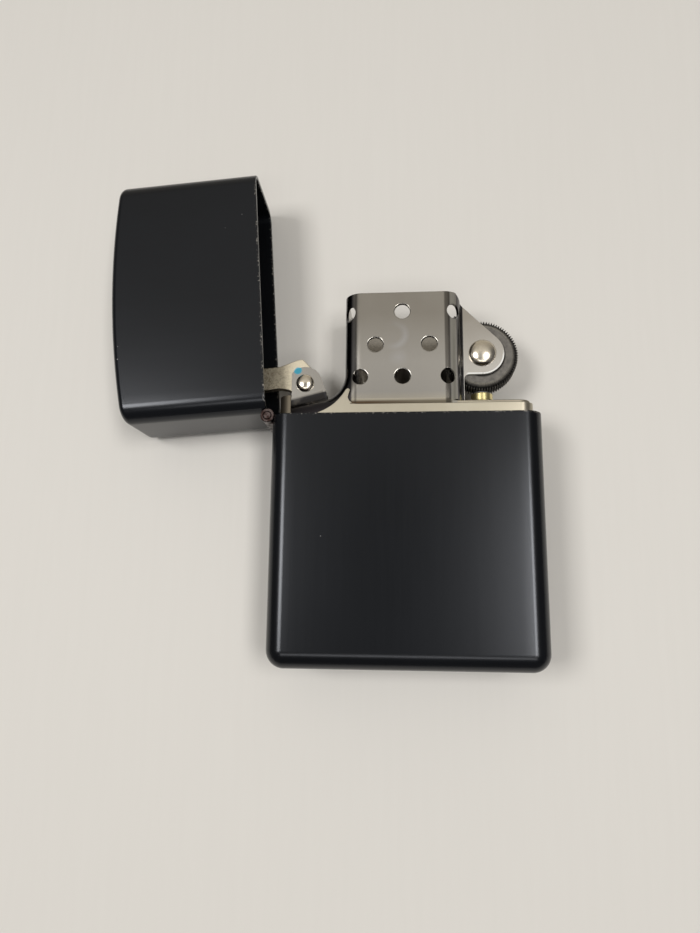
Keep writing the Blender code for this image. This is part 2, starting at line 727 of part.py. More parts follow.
def round_corners(corners, radius, steps):
    """The same line with each right-angled corner replaced by a quarter circle."""
    points = [corners[0]]
    for before, corner, after in zip(corners, corners[1:], corners[2:]):
        start = (before - corner).normalized() * radius
        end = (after - corner).normalized() * radius
        for i in range(steps + 1):
            angle = math.pi / 2 * i / steps
            points.append(corner + start * (1 - math.sin(angle)) + end * (1 - math.cos(angle)))
    points.append(corners[-1])
    return points


def build_fuel_parts(cotton, rayon, felt_mat):
    add_part(wire("wick", round_corners(wick_line(), 1.9 * MM, 4), WICK_R, 2), cotton)
    half_y = INSERT_HY - INSERT_WALL - 0.35 * MM
    clear = WICK_R + WAD_GAP
    for i in range(5):
        if i == 4:
            low_z = FELT_Z1 + WAD_GAP
        else:
            low_z = RUN_TOP_Z - (i + 1) * RUN_PITCH + clear
        high_z = RUN_TOP_Z - i * RUN_PITCH - clear
        low_x = -16.8 * MM if i % 2 == 0 else WICK_LEFT + clear
        high_x = WICK_RIGHT - clear if i % 2 == 0 else 9.4 * MM
        wad = rounded_block(f"wad_{i + 1}", (low_x, -half_y, low_z), (high_x, half_y, high_z),
                            1.1 * MM, 3)
        add_part(wad, rayon)
    plan = rounded_rectangle(-17.2 * MM, 17.2 * MM, 4.95 * MM, 1.4 * MM)
    pad = plate("felt_pad", plan, FELT_Z0, FELT_Z1)
    cut(pad, cylinder("felt_screw_hole", SCREW_HEAD_R + 0.3 * MM, 3 * MM,
                      (WHEEL_X, 0, FELT_Z0)))
    add_part(pad, felt_mat)


# ---------------------------------------------------------------- build
clear_scene()
PARTS = new_collection("flip_top_lighter")
CUTTERS = new_collection("cutters")

black = material("black_lacquer", (0.012, 0.013, 0.015), 0.38, 0.0)
black_lid = material("black_lacquer_lid", (0.016, 0.017, 0.020), 0.36, 0.0)
hinge_metal = material("dark_chrome", (0.35, 0.33, 0.32), 0.3, 1.0)
shell_metal = material("satin_steel", (0.72, 0.69, 0.60), 0.4, 1.0)
bright_metal = material("brushed_steel", (0.66, 0.65, 0.62), 0.28, 1.0)
cam_metal = material("mottled_steel", (0.62, 0.58, 0.48), 0.45, 1.0)
rivet_metal = material("polished_nickel", (0.80, 0.78, 0.73), 0.15, 1.0)
wheel_metal = material("hardened_steel", (0.16, 0.155, 0.15), 0.5, 1.0)
brass_metal = material("brass", (0.80, 0.62, 0.26), 0.25, 1.0)
spring_metal = material("spring_steel", (0.55, 0.55, 0.55), 0.3, 1.0)
flint_grey = material("ferrocerium", (0.10, 0.10, 0.11), 0.6, 0.6)
cotton_cord = material("charred_cotton", (0.10, 0.09, 0.08), 0.95, 0.0)
rayon_wad = material("rayon_wad", (0.85, 0.84, 0.80), 0.95, 0.0)
felt = material("felt", (0.70, 0.69, 0.66), 1.0, 0.0)

build_case(black)
build_lid(black_lid)
build_hinge(hinge_metal)
build_insert_case(shell_metal)
build_chimney(bright_metal)
build_cam(cam_metal)
build_rivets(rivet_metal)
build_cam_spring(spring_metal, rivet_metal)
build_striker_wheel(wheel_metal)
build_flint_column(brass_metal, spring_metal, flint_grey)
build_fuel_parts(cotton_cord, rayon_wad, felt)
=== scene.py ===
"""Looks of the flip-top pocket lighter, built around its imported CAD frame.

+Z is up, the front face points towards -Y, and the lid stands open on the -X side.
Lengths are in metres. The lid's pieces are drawn shut, then opened about the hinge.
"""
import json
from contextlib import contextmanager
from math import acos, cos, degrees, dist, pi, radians, sin, sqrt, tan

import bmesh
import bpy
from mathutils import Matrix, Vector, noise


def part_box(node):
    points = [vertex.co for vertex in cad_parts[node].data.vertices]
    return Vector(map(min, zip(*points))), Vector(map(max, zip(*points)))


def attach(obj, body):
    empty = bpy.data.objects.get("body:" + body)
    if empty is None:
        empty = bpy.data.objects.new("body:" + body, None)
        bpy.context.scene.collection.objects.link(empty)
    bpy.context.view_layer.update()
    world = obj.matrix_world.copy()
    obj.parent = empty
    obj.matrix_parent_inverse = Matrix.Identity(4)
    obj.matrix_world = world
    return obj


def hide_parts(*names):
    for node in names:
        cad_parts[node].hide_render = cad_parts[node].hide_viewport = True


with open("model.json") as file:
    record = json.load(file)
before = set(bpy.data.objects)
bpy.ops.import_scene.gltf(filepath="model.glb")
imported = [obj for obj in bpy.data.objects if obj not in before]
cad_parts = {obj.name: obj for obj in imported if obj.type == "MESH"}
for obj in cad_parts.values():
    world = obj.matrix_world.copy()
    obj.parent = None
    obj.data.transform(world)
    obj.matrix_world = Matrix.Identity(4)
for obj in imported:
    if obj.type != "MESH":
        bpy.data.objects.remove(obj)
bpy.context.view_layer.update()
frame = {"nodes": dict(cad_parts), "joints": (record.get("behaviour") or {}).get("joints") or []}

MM = 0.001
PIVOT = {joint["name"]: Vector(joint["pos_m"]) for joint in frame["joints"] if joint.get("pos_m")}
HINGE = PIVOT["lid_hinge"]
CAM = PIVOT["cam_pivot"]
WHEEL = PIVOT["wheel_spin"]
LID_OPEN = radians(94.15)

# Outer case and lid
CASE_HX, CASE_HY, CASE_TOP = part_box("case_bottom")[1]
WALL = 0.7 * MM
CORNER_R = 2.5 * MM             # of the outside, in plan
INNER_R = 1.3 * MM
BASE_EDGE_R = 2.5 * MM
BASE_INNER_R = 1.35 * MM
LID_TOP = 57.7 * MM             # of the shut lid, at the middle of its dome
LID_DOME = 1.43 * MM
LID_EDGE_R = 0.95 * MM
LID_INNER_R = 0.7 * MM
LIP = 0.14 * MM                 # rounding of the two rims
SEAM = 0.06 * MM

# Hinge
BARREL_R = 1.0 * MM
BARREL_HALF = 5.5 * MM
KNUCKLES = 5
LEAF_T = 0.25 * MM
LEAF_HALF = 4.4 * MM
LEAF_LEN = 5.5 * MM

# Insert body
INSERT_LOW, INSERT_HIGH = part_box("insert_case")
INSERT_HX, INSERT_HY = INSERT_HIGH.xy
INSERT_CORNER_R = 1.8 * MM
RIM_Z = 36.4 * MM
POST_Z = 37.8 * MM
POST_X = -16.2 * MM

# Chimney
CH_X0 = -8.65 * MM
CH_X1 = 8.15 * MM
CH_HY = 5.5 * MM
CH_R = 2.5 * MM
CH_TOP = 53.2 * MM
SHEET = 0.4 * MM
CHEEK_Y = 2.5 * MM
CHEEK_R = 3.15 * MM
BEND_R = 0.5 * MM
PLATE_Z = 36.45 * MM
FOOT_H = 0.8 * MM               # height over which the wall's foot flares out
FOOT_OUT = 0.25 * MM
RAMP_R = 4.0 * MM
RAMP_Z = 41.47 * MM             # height of the ramp's centre of curvature
RAMP_SLOPE = 14.4               # degrees
RAMP_FALL = tan(radians(RAMP_SLOPE))
RAMP_X0 = -17.0 * MM
HOLE_R = 1.105 * MM
HOLE_EDGE = 0.17 * MM

TOOTH_SLANT = 0.012             # turn of a tooth, in radians per mm across the wheel

# Rivets and collar
RIVET_BORE_R = 0.66 * MM
COLLAR_BORE_R = 1.66 * MM
WHEEL_HEAD_R = 1.98 * MM
CAM_HEAD_R = 1.33 * MM

# Cam ears
EAR_IN = 0.85 * MM
EAR_OUT = 1.3 * MM
EAR_R = 2.55 * MM
EAR_LEFT = -16.87 * MM
EAR_FOOT_Z = 36.3 * MM
FILLET_H = 2.4 * MM
FILLET_W = 1.8 * MM

OPENING = (Matrix.Translation(HINGE) @ Matrix.Rotation(-LID_OPEN, 4, "Y")
           @ Matrix.Translation(-HINGE))


# ---- mesh helpers
def link(obj):
    bpy.context.scene.collection.objects.link(obj)
    return obj


@contextmanager
def editing(mesh):
    """Open a mesh for editing, and write it back at the end."""
    bm = bmesh.new()
    bm.from_mesh(mesh)
    yield bm
    bm.to_mesh(mesh)
    bm.free()


def mesh_piece(name, verts, faces):
    """An object from points and faces, with its faces turned outwards."""
    mesh = bpy.data.meshes.new(name)
    mesh.from_pydata([tuple(v) for v in verts], [], faces)
    with editing(mesh) as bm:
        bmesh.ops.remove_doubles(bm, verts=bm.verts, dist=0.0005 * MM)
        bmesh.ops.recalc_face_normals(bm, faces=bm.faces)
    return link(bpy.data.objects.new(name, mesh))


def skin(rings, cyclic=True):
    """Points and quads that join rings of equal length."""
    count = len(rings[0])
    verts = [point for ring in rings for point in ring]
    faces = []
    for r in range(len(rings) - 1):
        for k in range(count if cyclic else count - 1):
            a = r * count + k
            b = r * count + (k + 1) % count
            faces.append((a, b, b + count, a + count))
    return verts, faces


def bake(obj):
    """Apply the object's modifiers to its mesh."""
    bpy.context.view_layer.update()
    depsgraph = bpy.context.evaluated_depsgraph_get()
    mesh = bpy.data.meshes.new_from_object(obj.evaluated_get(depsgraph))
    obj.modifiers.clear()
    obj.data = mesh
    return obj


def combine(obj, others, operation):
    """Join the others to the object, or cut them out of it, and remove them."""
    for other in others:
        modifier = obj.modifiers.new("combine", "BOOLEAN")
        modifier.operation = operation
        modifier.solver = "EXACT"
        modifier.object = other
    bake(obj)
    for other in others:
        bpy.data.objects.remove(other)
    with editing(obj.data) as bm:
        bmesh.ops.remove_doubles(bm, verts=bm.verts, dist=0.001 * MM)
    return obj


def cut_out(obj, others):
    return combine(obj, others, "DIFFERENCE")


def round_edges(obj, width, segments=2, angle=40, test=None):
    """Round the object's sharp edges, or those whose two ends pass a test."""
    with editing(obj.data) as bm:
        bm.normal_update()
        edges = [edge for edge in bm.edges if len(edge.link_faces) == 2
                 and edge.calc_face_angle(0.0) >= radians(angle)
                 and (test is None or all(test(vert.co) for vert in edge.verts))]
        bmesh.ops.bevel(bm, geom=edges, offset=width, offset_type="OFFSET", segments=segments,
                        profile=0.5, affect="EDGES", clamp_overlap=True)
        bmesh.ops.recalc_face_normals(bm, faces=bm.faces)
    return obj


def arc(cx, cy, radius, start_deg, end_deg, steps):
    """Points on an arc, both ends included."""
    points = []
    for i in range(steps + 1):
        angle = radians(start_deg + (end_deg - start_deg) * i / steps)
        points.append((cx + radius * cos(angle), cy + radius * sin(angle)))
    return points


def quarter(steps):
    """(run, rise) along a quarter round of radius 1, from upright to level."""
    turns = [pi / 2 * i / steps for i in range(steps + 1)]
    return [(1 - sin(turn), 1 - cos(turn)) for turn in turns]


def without_repeats(points):
    kept = [points[0]]
    for point in points[1:]:
        if dist(point, kept[-1]) > 0.002 * MM:
            kept.append(point)
    return kept


def capped(name, rings):
    """A solid through the rings, closed by one face at each end."""
    verts, faces = skin(rings)
    count = len(rings[0])
    last = len(verts) - count
    faces += [tuple(range(count)), tuple(range(last, last + count))]
    return mesh_piece(name, verts, faces)


def laddered(name, rings):
    """A solid through rings that are mirrored front to back, closed by rows of quads."""
    verts, faces = skin(rings)
    count = len(rings[0])
    for start in (0, len(verts) - count):
        faces += [(start + k, start + k + 1, start + count - 2 - k, start + count - 1 - k)
                  for k in range(count // 2 - 1)]
    return mesh_piece(name, verts, faces)


def prism(name, outline, y0, y1):
    """A plate between two depths, cut to an outline in the XZ plane."""
    outline = without_repeats(outline)
    return capped(name, [[(x, y, z) for x, z in outline] for y in (y0, y1)])


def slab(name, outline, z0, z1):
    """A plate between two heights, cut to an outline in plan."""
    outline = without_repeats(outline)
    return capped(name, [[(x, y, z) for x, y in outline] for z in (z0, z1)])


def block(name, corner, other):
    """A box between two opposite corners."""
    (x0, x1), (y0, y1), (z0, z1) = map(sorted, zip(corner, other))
    return prism(name, [(x0, z0), (x1, z0), (x1, z1), (x0, z1)], y0, y1)


def along_y(point):
    """A placement at a point that turns Z to run along Y."""
    return Matrix.Translation(point) @ Matrix.Rotation(-pi / 2, 4, "X")


def lathe(name, profile, place, segments=48, closed=False):
    """Turn (radius, height) points about Z, then place the result."""
    rings = []
    for radius, height in profile:
        rings.append([place @ Vector((radius * cos(2 * pi * k / segments),
                                      radius * sin(2 * pi * k / segments),
                                      height)) for k in range(segments)])
    if closed:
        rings.append(rings[0])
    verts, faces = skin(rings)
    return mesh_piece(name, verts, faces)


def rod(name, radius, low, high, place, segments=24):
    """A plain cylinder between two heights, used as a cutter."""
    return lathe(name, [(0.0, low), (radius, low), (radius, high), (0.0, high)], place, segments)


def sweep(name, path, section_at):
    """A tube along a path; section_at gives the radius at a turn angle and a distance."""
    sides = 24
    rings = []
    along = 0.0
    for i, point in enumerate(path):
        before = path[max(i - 1, 0)]
        after = path[min(i + 1, len(path) - 1)]
        along += (point - before).length
        tangent = (after - before).normalized()
        side = Vector((0, 1, 0))
        up = tangent.cross(side)
        ring = []
        for k in range(sides):
            turn = 2 * pi * k / sides
            radius = section_at(turn, along)
            ring.append(point + side * radius * cos(turn) + up * radius * sin(turn))
        rings.append(ring)
    return capped(name, rings)


def paint(mesh, mat):
    """Give a mesh one material in place of any it has."""
    mesh.materials.clear()
    mesh.materials.append(mat)


def add(obj, body, mat, nodes, sharp=32):
    """Shade a piece, give it its material and let it ride on its body."""
    paint(obj.data, mat)
    for polygon in obj.data.polygons:
        polygon.use_smooth = True
    obj.data.set_sharp_from_angle(angle=radians(sharp))
    normals = obj.modifiers.new("normals", "WEIGHTED_NORMAL")
    normals.keep_sharp = True
    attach(obj, body)
    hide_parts(*nodes)


# ---- materials
def scaled(color, share):
    return tuple(share * part for part in color)


class Nodes:
    """A short way to add and join nodes."""

    def __init__(self, tree):
        self.tree = tree

    def node(self, kind, settings=None, **inputs):
        node = self.tree.nodes.new("ShaderNode" + kind)
        for key, value in (settings or {}).items():
            setattr(node, key, value)
        for key, value in inputs.items():
            self.feed(node.inputs[key.replace("_", " ")], value)
        return node

    def feed(self, socket, value):
        if isinstance(value, bpy.types.NodeSocket):
            self.tree.links.new(value, socket)
        elif isinstance(value, tuple) and len(value) == 3 and socket.type == "RGBA":
            socket.default_value = (*value, 1.0)
        else:
            socket.default_value = value

    def span(self, value, low, high, out_low=0.0, out_high=1.0):
        """Map a value's range onto another, clamped."""
        made = self.node("MapRange", Value=value)
        for key, number in (("From Min", low), ("From Max", high), ("To Min", out_low),
                            ("To Max", out_high)):
            made.inputs[key].default_value = number
        return made.outputs["Result"]

    def calc(self, operation, a, b=0.0):
        made = self.node("Math", {"operation": operation})
        self.feed(made.inputs[0], a)
        self.feed(made.inputs[1], b)
        return made.outputs[0]

    def every(self, first, *others):
        """The product of several masks."""
        for other in others:
            first = self.calc("MULTIPLY", first, other)
        return first

    def either(self, first, *others):
        """The strongest of several masks."""
        for other in others:
            first = self.calc("MAXIMUM", first, other)
        return first

    def mix(self, share, a, b):
        made = self.node("Mix", {"data_type": "RGBA"})
        self.feed(made.inputs["Factor"], share)
        self.feed(made.inputs[6], a)
        self.feed(made.inputs[7], b)
        return made.outputs[2]


class Along:
    """Masks along a coordinate. Their limits are in millimetres from an origin."""

    def __init__(self, nodes, value, origin=0.0):
        self.nodes, self.value, self.origin = nodes, value, origin

    def at(self, origin):
        return Along(self.nodes, self.value, origin)

    def span(self, start, end, low=0.0, high=1.0):
        return self.nodes.span(self.value, self.origin + start * MM, self.origin + end * MM,
                               low, high)

    def band(self, start, full, ease, end, peak=1.0):
        """Rise from 0 to 1 between start and full, and fall back between ease and end."""
        return self.nodes.every(self.span(start, full), self.span(end, ease, 0.0, peak))


class Shader(Nodes):
    """A material, its nodes and the masks that its marks are made of."""

    def __init__(self, name):
        self.mat = bpy.data.materials.new(name)
        self.mat.use_nodes = True
        super().__init__(self.mat.node_tree)
        self.surface = self.tree.nodes["Principled BSDF"]
        self.place = self.node("TexCoord").outputs["Object"]

    def along(self, letter):
        return Along(self, self.node("SeparateXYZ", Vector=self.place).outputs[letter])

    x = property(lambda self: self.along("X"))
    y = property(lambda self: self.along("Y"))
    z = property(lambda self: self.along("Z"))
    depth = property(lambda self: Along(self, self.calc("ABSOLUTE", self.y.value)))

    def put(self, **inputs):
        for key, value in inputs.items():
            self.feed(self.surface.inputs[key.replace("_", " ")], value)

    def finish(self, color, metallic, rough, height, strength, depth):
        """Set the surface, give it fine relief and hand over the material."""
        self.put(Base_Color=color, Metallic=metallic, Roughness=rough)
        self.bump(height, strength, depth)
        return self.mat

    def noise(self, stretch, detail=3.0, rough=0.55):
        """Noise whose cells per metre are given for each axis."""
        mapped = self.node("Mapping", Vector=self.place, Scale=stretch)
        made = self.node("TexNoise", Vector=mapped.outputs[0], Scale=1.0, Detail=detail,
                         Roughness=rough)
        return made.outputs["Fac"]

    def specks(self, cells, radius, share):
        """Small dots: one to a cell, kept for a share of the cells."""
        mapped = self.node("Mapping", Vector=self.place, Scale=(cells,) * 3)
        made = self.node("TexVoronoi", Vector=mapped.outputs[0], Scale=1.0)
        dot = self.span(made.outputs["Distance"], radius, radius * 0.6)
        chosen = self.node("SeparateColor", Color=made.outputs["Color"])
        return self.every(dot, self.calc("LESS_THAN", chosen.outputs[0], share))

    def away(self, start, centre):
        """Distance between two places."""
        made = self.node("VectorMath", {"operation": "DISTANCE"})
        self.feed(made.inputs[0], start)
        made.inputs[1].default_value = centre
        return made.outputs["Value"]

    def near(self, centre, radius, softness):
        """1 close to a point, fading to 0."""
        return self.span(self.away(self.place, centre), radius + softness, radius)

    def halo(self, centre, radius, width):
        """1 on a ring around a point, fading to 0 on both sides."""
        off = self.calc("SUBTRACT", self.away(self.place, centre), radius)
        return self.span(self.calc("ABSOLUTE", off), width, 0.0)

    def reach(self, line):
        """Distance from a line along Y."""
        level = self.node("CombineXYZ", X=self.x.value, Y=0.0, Z=self.z.value)
        return Along(self, self.away(level.outputs[0], (line.x, 0.0, line.z)))

    def bump(self, height, strength, depth):
        made = self.node("Bump", Strength=strength, Distance=depth, Height=height)
        self.put(Normal=made.outputs[0])


def lacquer(name, shade, rough):
    """Satin black coat with fine upright brushing, dust specks and a worn rim."""
    s = Shader(name)
    lines = s.noise((7000, 7000, 75), detail=3.0)
    cloud = s.noise((90, 90, 60), detail=2.0)
    specks = s.specks(520, 0.06, 0.035)
    seam = s.z.at(CASE_TOP)
    near_rim = s.calc("MINIMUM", seam.span(-0.32, -0.05), seam.span(0.4, 0.1))
    chips = s.span(s.noise((2600, 2600, 2600), detail=2.0), 0.56, 0.68)
    tint = s.mix(s.span(cloud, 0.35, 0.65), scaled(shade, 0.85), scaled(shade, 1.15))
    tint = s.mix(s.every(specks, 0.7), tint, (0.36, 0.36, 0.35))
    tint = s.mix(s.every(near_rim, chips), tint, (0.30, 0.28, 0.25))
    s.put(Specular_IOR_Level=0.42, Specular_Tint=(0.88, 0.92, 1.0))
    rough = s.span(lines, 0.3, 0.7, rough - 0.006, rough + 0.008)
    return s.finish(tint, 0.0, rough, lines, 0.016, 0.002 * MM)


def brushed(name, tint, rough, grain, extra=None):
    """Bare metal with fine parallel scratches and slight staining."""
    s = Shader(name)
    lines = s.noise(grain, detail=3.0, rough=0.6)
    stains = s.noise((260, 260, 220), detail=3.0)
    color = s.mix(s.span(stains, 0.38, 0.72), tint, scaled(tint, 0.9))
    color = s.mix(s.span(lines, 0.3, 0.7, 0.0, 0.07), color, scaled(tint, 0.7))
    s.finish(color, 1.0, s.span(lines, 0.3, 0.7, rough, rough + 0.06), lines, 0.04, 0.002 * MM)
    if extra:
        extra(s, color, stains)
    return s.mat


def ink_dab(s):
    """How much blue ink lies on the metal: one dab between the ear and the cam."""
    blot = s.near((CAM.x - 1.15 * MM, -1.0 * MM, CAM.z + 2.05 * MM), 0.6 * MM, 0.2 * MM)
    return s.every(blot, s.span(s.noise((1500, 1500, 1500)), 0.22, 0.36))


def guard_tones(s, color, stains):
    """Warmer and darker towards the top, with painted light at the foot: a beige reflection, a
    darker plate and a brown shadow line.
    """
    color = s.mix(s.z.span(42.5, 50.0, 0.0, 0.9), color,
                  s.mix(stains, (0.42, 0.39, 0.345), (0.52, 0.49, 0.44)))
    color = s.mix(s.x.at(CH_X1).span(-0.2, -1.2, 0.0, 0.42), color, (0.24, 0.225, 0.20))
    # Painted reflection: the pale table's warm beige, laid on the wall's foot.
    color = s.mix(s.z.span(38.2, 37.0, 0.0, 0.55), color, (0.74, 0.68, 0.54))
    # Painted shade: the plate darkened, which hides its lit rim.
    color = s.mix(s.z.at(PLATE_Z + SHEET).span(0.1, 0.0, 0.0, 0.85), color, (0.27, 0.24, 0.18))
    # Painted shadow: a brown line along the wall's foot on the left, fading to the right.
    foot_shadow = s.every(s.z.span(36.95, 36.65), s.x.span(2, -5), 0.8)
    return s.mix(foot_shadow, color, (0.16, 0.10, 0.06))


def dark_bend_reflections(s):
    """Painted reflections: soft dark bands on the flat side of the guard's two front bends."""
    right = s.x.at(CH_X1).band(-2.5, -2.3, -1.75, -1.55, 0.8)
    left = s.x.at(CH_X0).band(1.4, 1.6, 1.7, 1.9, 0.55)
    return s.every(s.either(right, left), s.depth.span(3.0, 3.5))


def painted_black_bands(s, stains):
    """Painted dark reflections and shade: black bands round the bends, on the ramp and ears' feet,
    and a painted shadow inside the cheeks.
    """
    # Painted dark reflection in the concave bend beside the cheeks, and on the left bend's outer
    # part.
    right = s.every(s.x.at(CH_X1).band(-0.8, -0.6, 0.38, 0.5), s.depth.span(5.0, 4.7, 0.0, 0.85))
    left = s.every(s.x.at(CH_X0).span(1.2, 0.95), s.depth.span(3.0, 3.5, 0.0, 0.92))
    lift = Along(s, s.calc("SUBTRACT", s.z.value, s.every(s.x.value, RAMP_FALL)),
                 EAR_FOOT_Z - EAR_LEFT * RAMP_FALL + FILLET_H)
    # Painted dark reflection on the ramp and the ears' feet.
    fillet = s.either(s.depth.at(EAR_OUT).span(0.005, 0.035, 0.0, 0.92),
                      lift.span(-0.3, -0.45, 0.0, 0.92))
    foot = s.every(s.x.at(CH_X0).span(-0.1, -0.6), fillet, s.span(stains, 0.66, 0.60, 0.8, 1.0))
    # Painted shadow on the inner faces of the cheeks.
    cheek_inner_shade = s.every(s.x.at(CH_X1).span(0.5, 0.7), s.depth.at(CHEEK_Y).span(-0.24, -0.3))
    return s.either(right, left, foot, cheek_inner_shade)


def guard_haze(s, stains):
    """A faint wiped arc on the front, and a smear below it."""
    swipe = s.every(s.halo((-1.7 * MM, -CH_HY, 46.7 * MM), 1.8 * MM, 0.7 * MM),
                    s.x.span(-2.8, -0.8))
    smear = s.every(s.near((-0.8 * MM, -CH_HY, 43.3 * MM), 0.2 * MM, 1.4 * MM), 0.7)
    return s.every(s.either(swipe, smear), s.y.span(-5.0, -5.4),
                   s.span(stains, 0.3, 0.6, 0.3, 1.0), s.z.span(48.6, 46.8, 0.08, 0.24))


def cheek_rim_highlight(s):
    """A painted highlight: a pale line along the lower rim of the two cheeks."""
    x, z = s.x.at(WHEEL.x), s.z.at(WHEEL.z)
    curved = s.every(s.reach(WHEEL).at(CHEEK_R).span(-0.24, -0.16), x.span(-0.1, 0.1))
    straight = s.every(x.span(0.1, -0.1), s.z.at(WHEEL.z - CHEEK_R).span(0.24, 0.16))
    return s.every(s.either(curved, straight), z.span(0.6, -0.6),
                   s.x.at(CH_X1).span(0.7, 1.1), s.z.at(PLATE_Z).span(2, 3))


def handled(s, color, stains):
    """The guard's tones and marks, with painted reflections, shade and a rim highlight, a wiped
    smear and a dab of ink.
    """
    # Painted shade: black on the inside behind the lower right vent.
    vent_shade = s.every(s.x.band(4.2, 4.8, 6.9, 7.3), s.depth.span(5.2, 5.15), s.z.span(47.5, 45.5))
    # Painted reflection: a pale grey band on the right front bend.
    pale = s.every(s.x.at(CH_X1).band(-1.7, -1.45, -0.9, -0.7), s.depth.span(3.8, 4.2, 0.0, 0.9))
    # The cheeks' rim line is a painted highlight.
    ink, rim = ink_dab(s), cheek_rim_highlight(s)
    color = guard_tones(s, color, stains)
    for share, shade in ((dark_bend_reflections(s), (0.09, 0.082, 0.07)),
                         (painted_black_bands(s, stains), (0.03, 0.031, 0.040)),
                         (guard_haze(s, stains), (0.78, 0.81, 0.90)),
                         (vent_shade, (0.02, 0.018, 0.016)), (ink, (0.05, 0.33, 0.46)),
                         (rim, (0.90, 0.90, 0.88)), (pale, (0.26, 0.25, 0.215))):
        color = s.mix(share, color, shade)
    coat = s.either(ink, vent_shade, rim, pale)
    dull = s.calc("ADD", s.span(stains, 0.3, 0.7, 0.17, 0.24),
                  s.z.at(PLATE_Z + SHEET).span(0.1, 0.0, 0.0, 0.3))
    s.put(Base_Color=color, Metallic=s.calc("SUBTRACT", 1.0, s.every(coat, 0.85)),
          Roughness=dull)


def shaded_post(s, color, stains):
    """Painted shade on the insert's left end, in brown, and a beige bloom elsewhere."""
    color = s.mix(s.every(stains, 0.3), color, (0.55, 0.47, 0.33))
    s.put(Base_Color=s.mix(s.x.span(-15.6, -16.0), color, (0.125, 0.108, 0.082)),
          Roughness=s.x.span(-16.2, -15.0, 0.5, 0.36))


def cam_metal():
    """Warm stained steel, pitted towards the arm's end, with a dab of blue ink."""
    s = Shader("mottled_steel")
    fine = s.noise((3400, 3400, 3400), detail=4.0, rough=0.65)
    broad = s.noise((420, 420, 300), detail=3.0)
    color = s.mix(s.span(broad, 0.35, 0.65), (0.64, 0.58, 0.45), (0.54, 0.49, 0.38))
    arm = s.x.at(CAM.x).span(-1.8, -5.8, 0.12, 1.0)
    pits = s.every(s.span(fine, 0.42, 0.62), arm, 0.85)
    color = s.mix(pits, color, (0.17, 0.13, 0.08))
    ink = ink_dab(s)
    color = s.mix(ink, color, (0.05, 0.36, 0.52))
    return s.finish(color, s.calc("SUBTRACT", 1.0, s.every(ink, 0.8)),
                    s.span(fine, 0.3, 0.7, 0.36, 0.52), fine, 0.3, 0.01 * MM)


def wheel_metal():
    """Case-hardened steel, dark and dusty with flint powder, with a painted shadow under the
    cheeks' rims.
    """
    s = Shader("wheel_steel")
    fine = s.noise((1500, 1500, 1500), detail=5.0, rough=0.7)
    color = s.mix(s.span(fine, 0.35, 0.7), (0.10, 0.095, 0.088), (0.20, 0.187, 0.168))
    reach = s.reach(WHEEL)
    # Painted shadow: the wheel's face dark out to just past the cheeks' rim.
    color = s.mix(reach.at(CHEEK_R).span(0.32, 0.14, 0.0, 0.9), color, (0.008, 0.007, 0.006))
    rim = reach.band(4.30, 4.42, 4.48, 4.62, 0.6)
    color = s.mix(rim, color, (0.42, 0.40, 0.35))
    roots = reach.band(4.6, 4.9, 5.05, 5.22)
    color = s.mix(roots, color, (0.012, 0.011, 0.010))
    return s.finish(color, 0.75, s.span(fine, 0.3, 0.7, 0.38, 0.6), fine, 0.35, 0.012 * MM)


def polished(name, tint, rough, extra=None):
    """Smooth bright metal with faint handling marks."""
    s = Shader(name)
    marks = s.noise((1200, 1200, 1200), detail=4.0)
    color = s.mix(s.span(marks, 0.4, 0.75), tint, scaled(tint, 0.8))
    s.finish(color, 1.0, s.span(marks, 0.35, 0.7, rough, rough + 0.09), marks, 0.06, 0.004 * MM)
    if extra:
        extra(s, color)
    return s.mat


def rivet_dark_crescent(s, color):
    """Painted shade: a dark crescent along the lower edge of each dome."""
    wheel_side = s.x.span(-1, 1)
    cam_side = s.calc("SUBTRACT", 1.0, wheel_side)
    heads = ((wheel_side, WHEEL, WHEEL_HEAD_R), (cam_side, CAM, CAM_HEAD_R))
    crescent_shade = [s.every(side, 0.85, s.span(s.z.value, pivot.z - 0.72 * head, pivot.z - 0.85 * head))
            for side, pivot, head in heads]
    s.put(Base_Color=s.mix(s.either(*crescent_shade), color, (0.06, 0.045, 0.03)))


def dark_chrome():
    """Hinge plating, tarnished brown in the crevices."""
    s = Shader("hinge_chrome")
    tarnish = s.noise((1700, 1700, 1700), detail=4.0)
    color = s.mix(s.span(tarnish, 0.38, 0.56), (0.17, 0.135, 0.13), (0.03, 0.018, 0.016))
    rough = s.span(tarnish, 0.35, 0.65, 0.16, 0.42)
    return s.finish(color, 1.0, rough, tarnish, 0.3, 0.012 * MM)


def fibre(name, pale, dark, cells, fuzz):
    """Soft fibres: fine crossed noise with a matt, sheen-edged surface."""
    s = Shader(name)
    strands = s.noise((cells, cells * 0.25, cells * 0.6), detail=6.0, rough=0.75)
    clumps = s.noise((cells * 0.12,) * 3, detail=3.0)
    color = s.mix(s.span(strands, 0.32, 0.68), dark, pale)
    color = s.mix(s.span(clumps, 0.45, 0.75, 0.0, 0.35), color, dark)
    s.put(Base_Color=color, Roughness=0.95, Sheen_Weight=0.35)
    s.bump(strands, 0.9, fuzz * MM)
    return s


def charred_cotton():
    """Cotton cord, burnt black at the flame end."""
    s = fibre("wick_cotton", (0.72, 0.68, 0.58), (0.42, 0.38, 0.30), 3000, 0.08)
    color = s.surface.inputs["Base Color"].links[0].from_socket
    s.put(Base_Color=s.mix(s.z.span(37.0, 39.5), color, (0.085, 0.072, 0.058)))
    return s.mat


def ferrocerium():
    s = Shader("ferrocerium")
    grit = s.noise((5200, 5200, 5200), detail=4.0)
    color = s.mix(s.span(grit, 0.3, 0.7), (0.06, 0.06, 0.065), (0.17, 0.165, 0.16))
    return s.finish(color, 0.5, s.span(grit, 0.3, 0.7, 0.5, 0.75), grit, 0.5, 0.02 * MM)


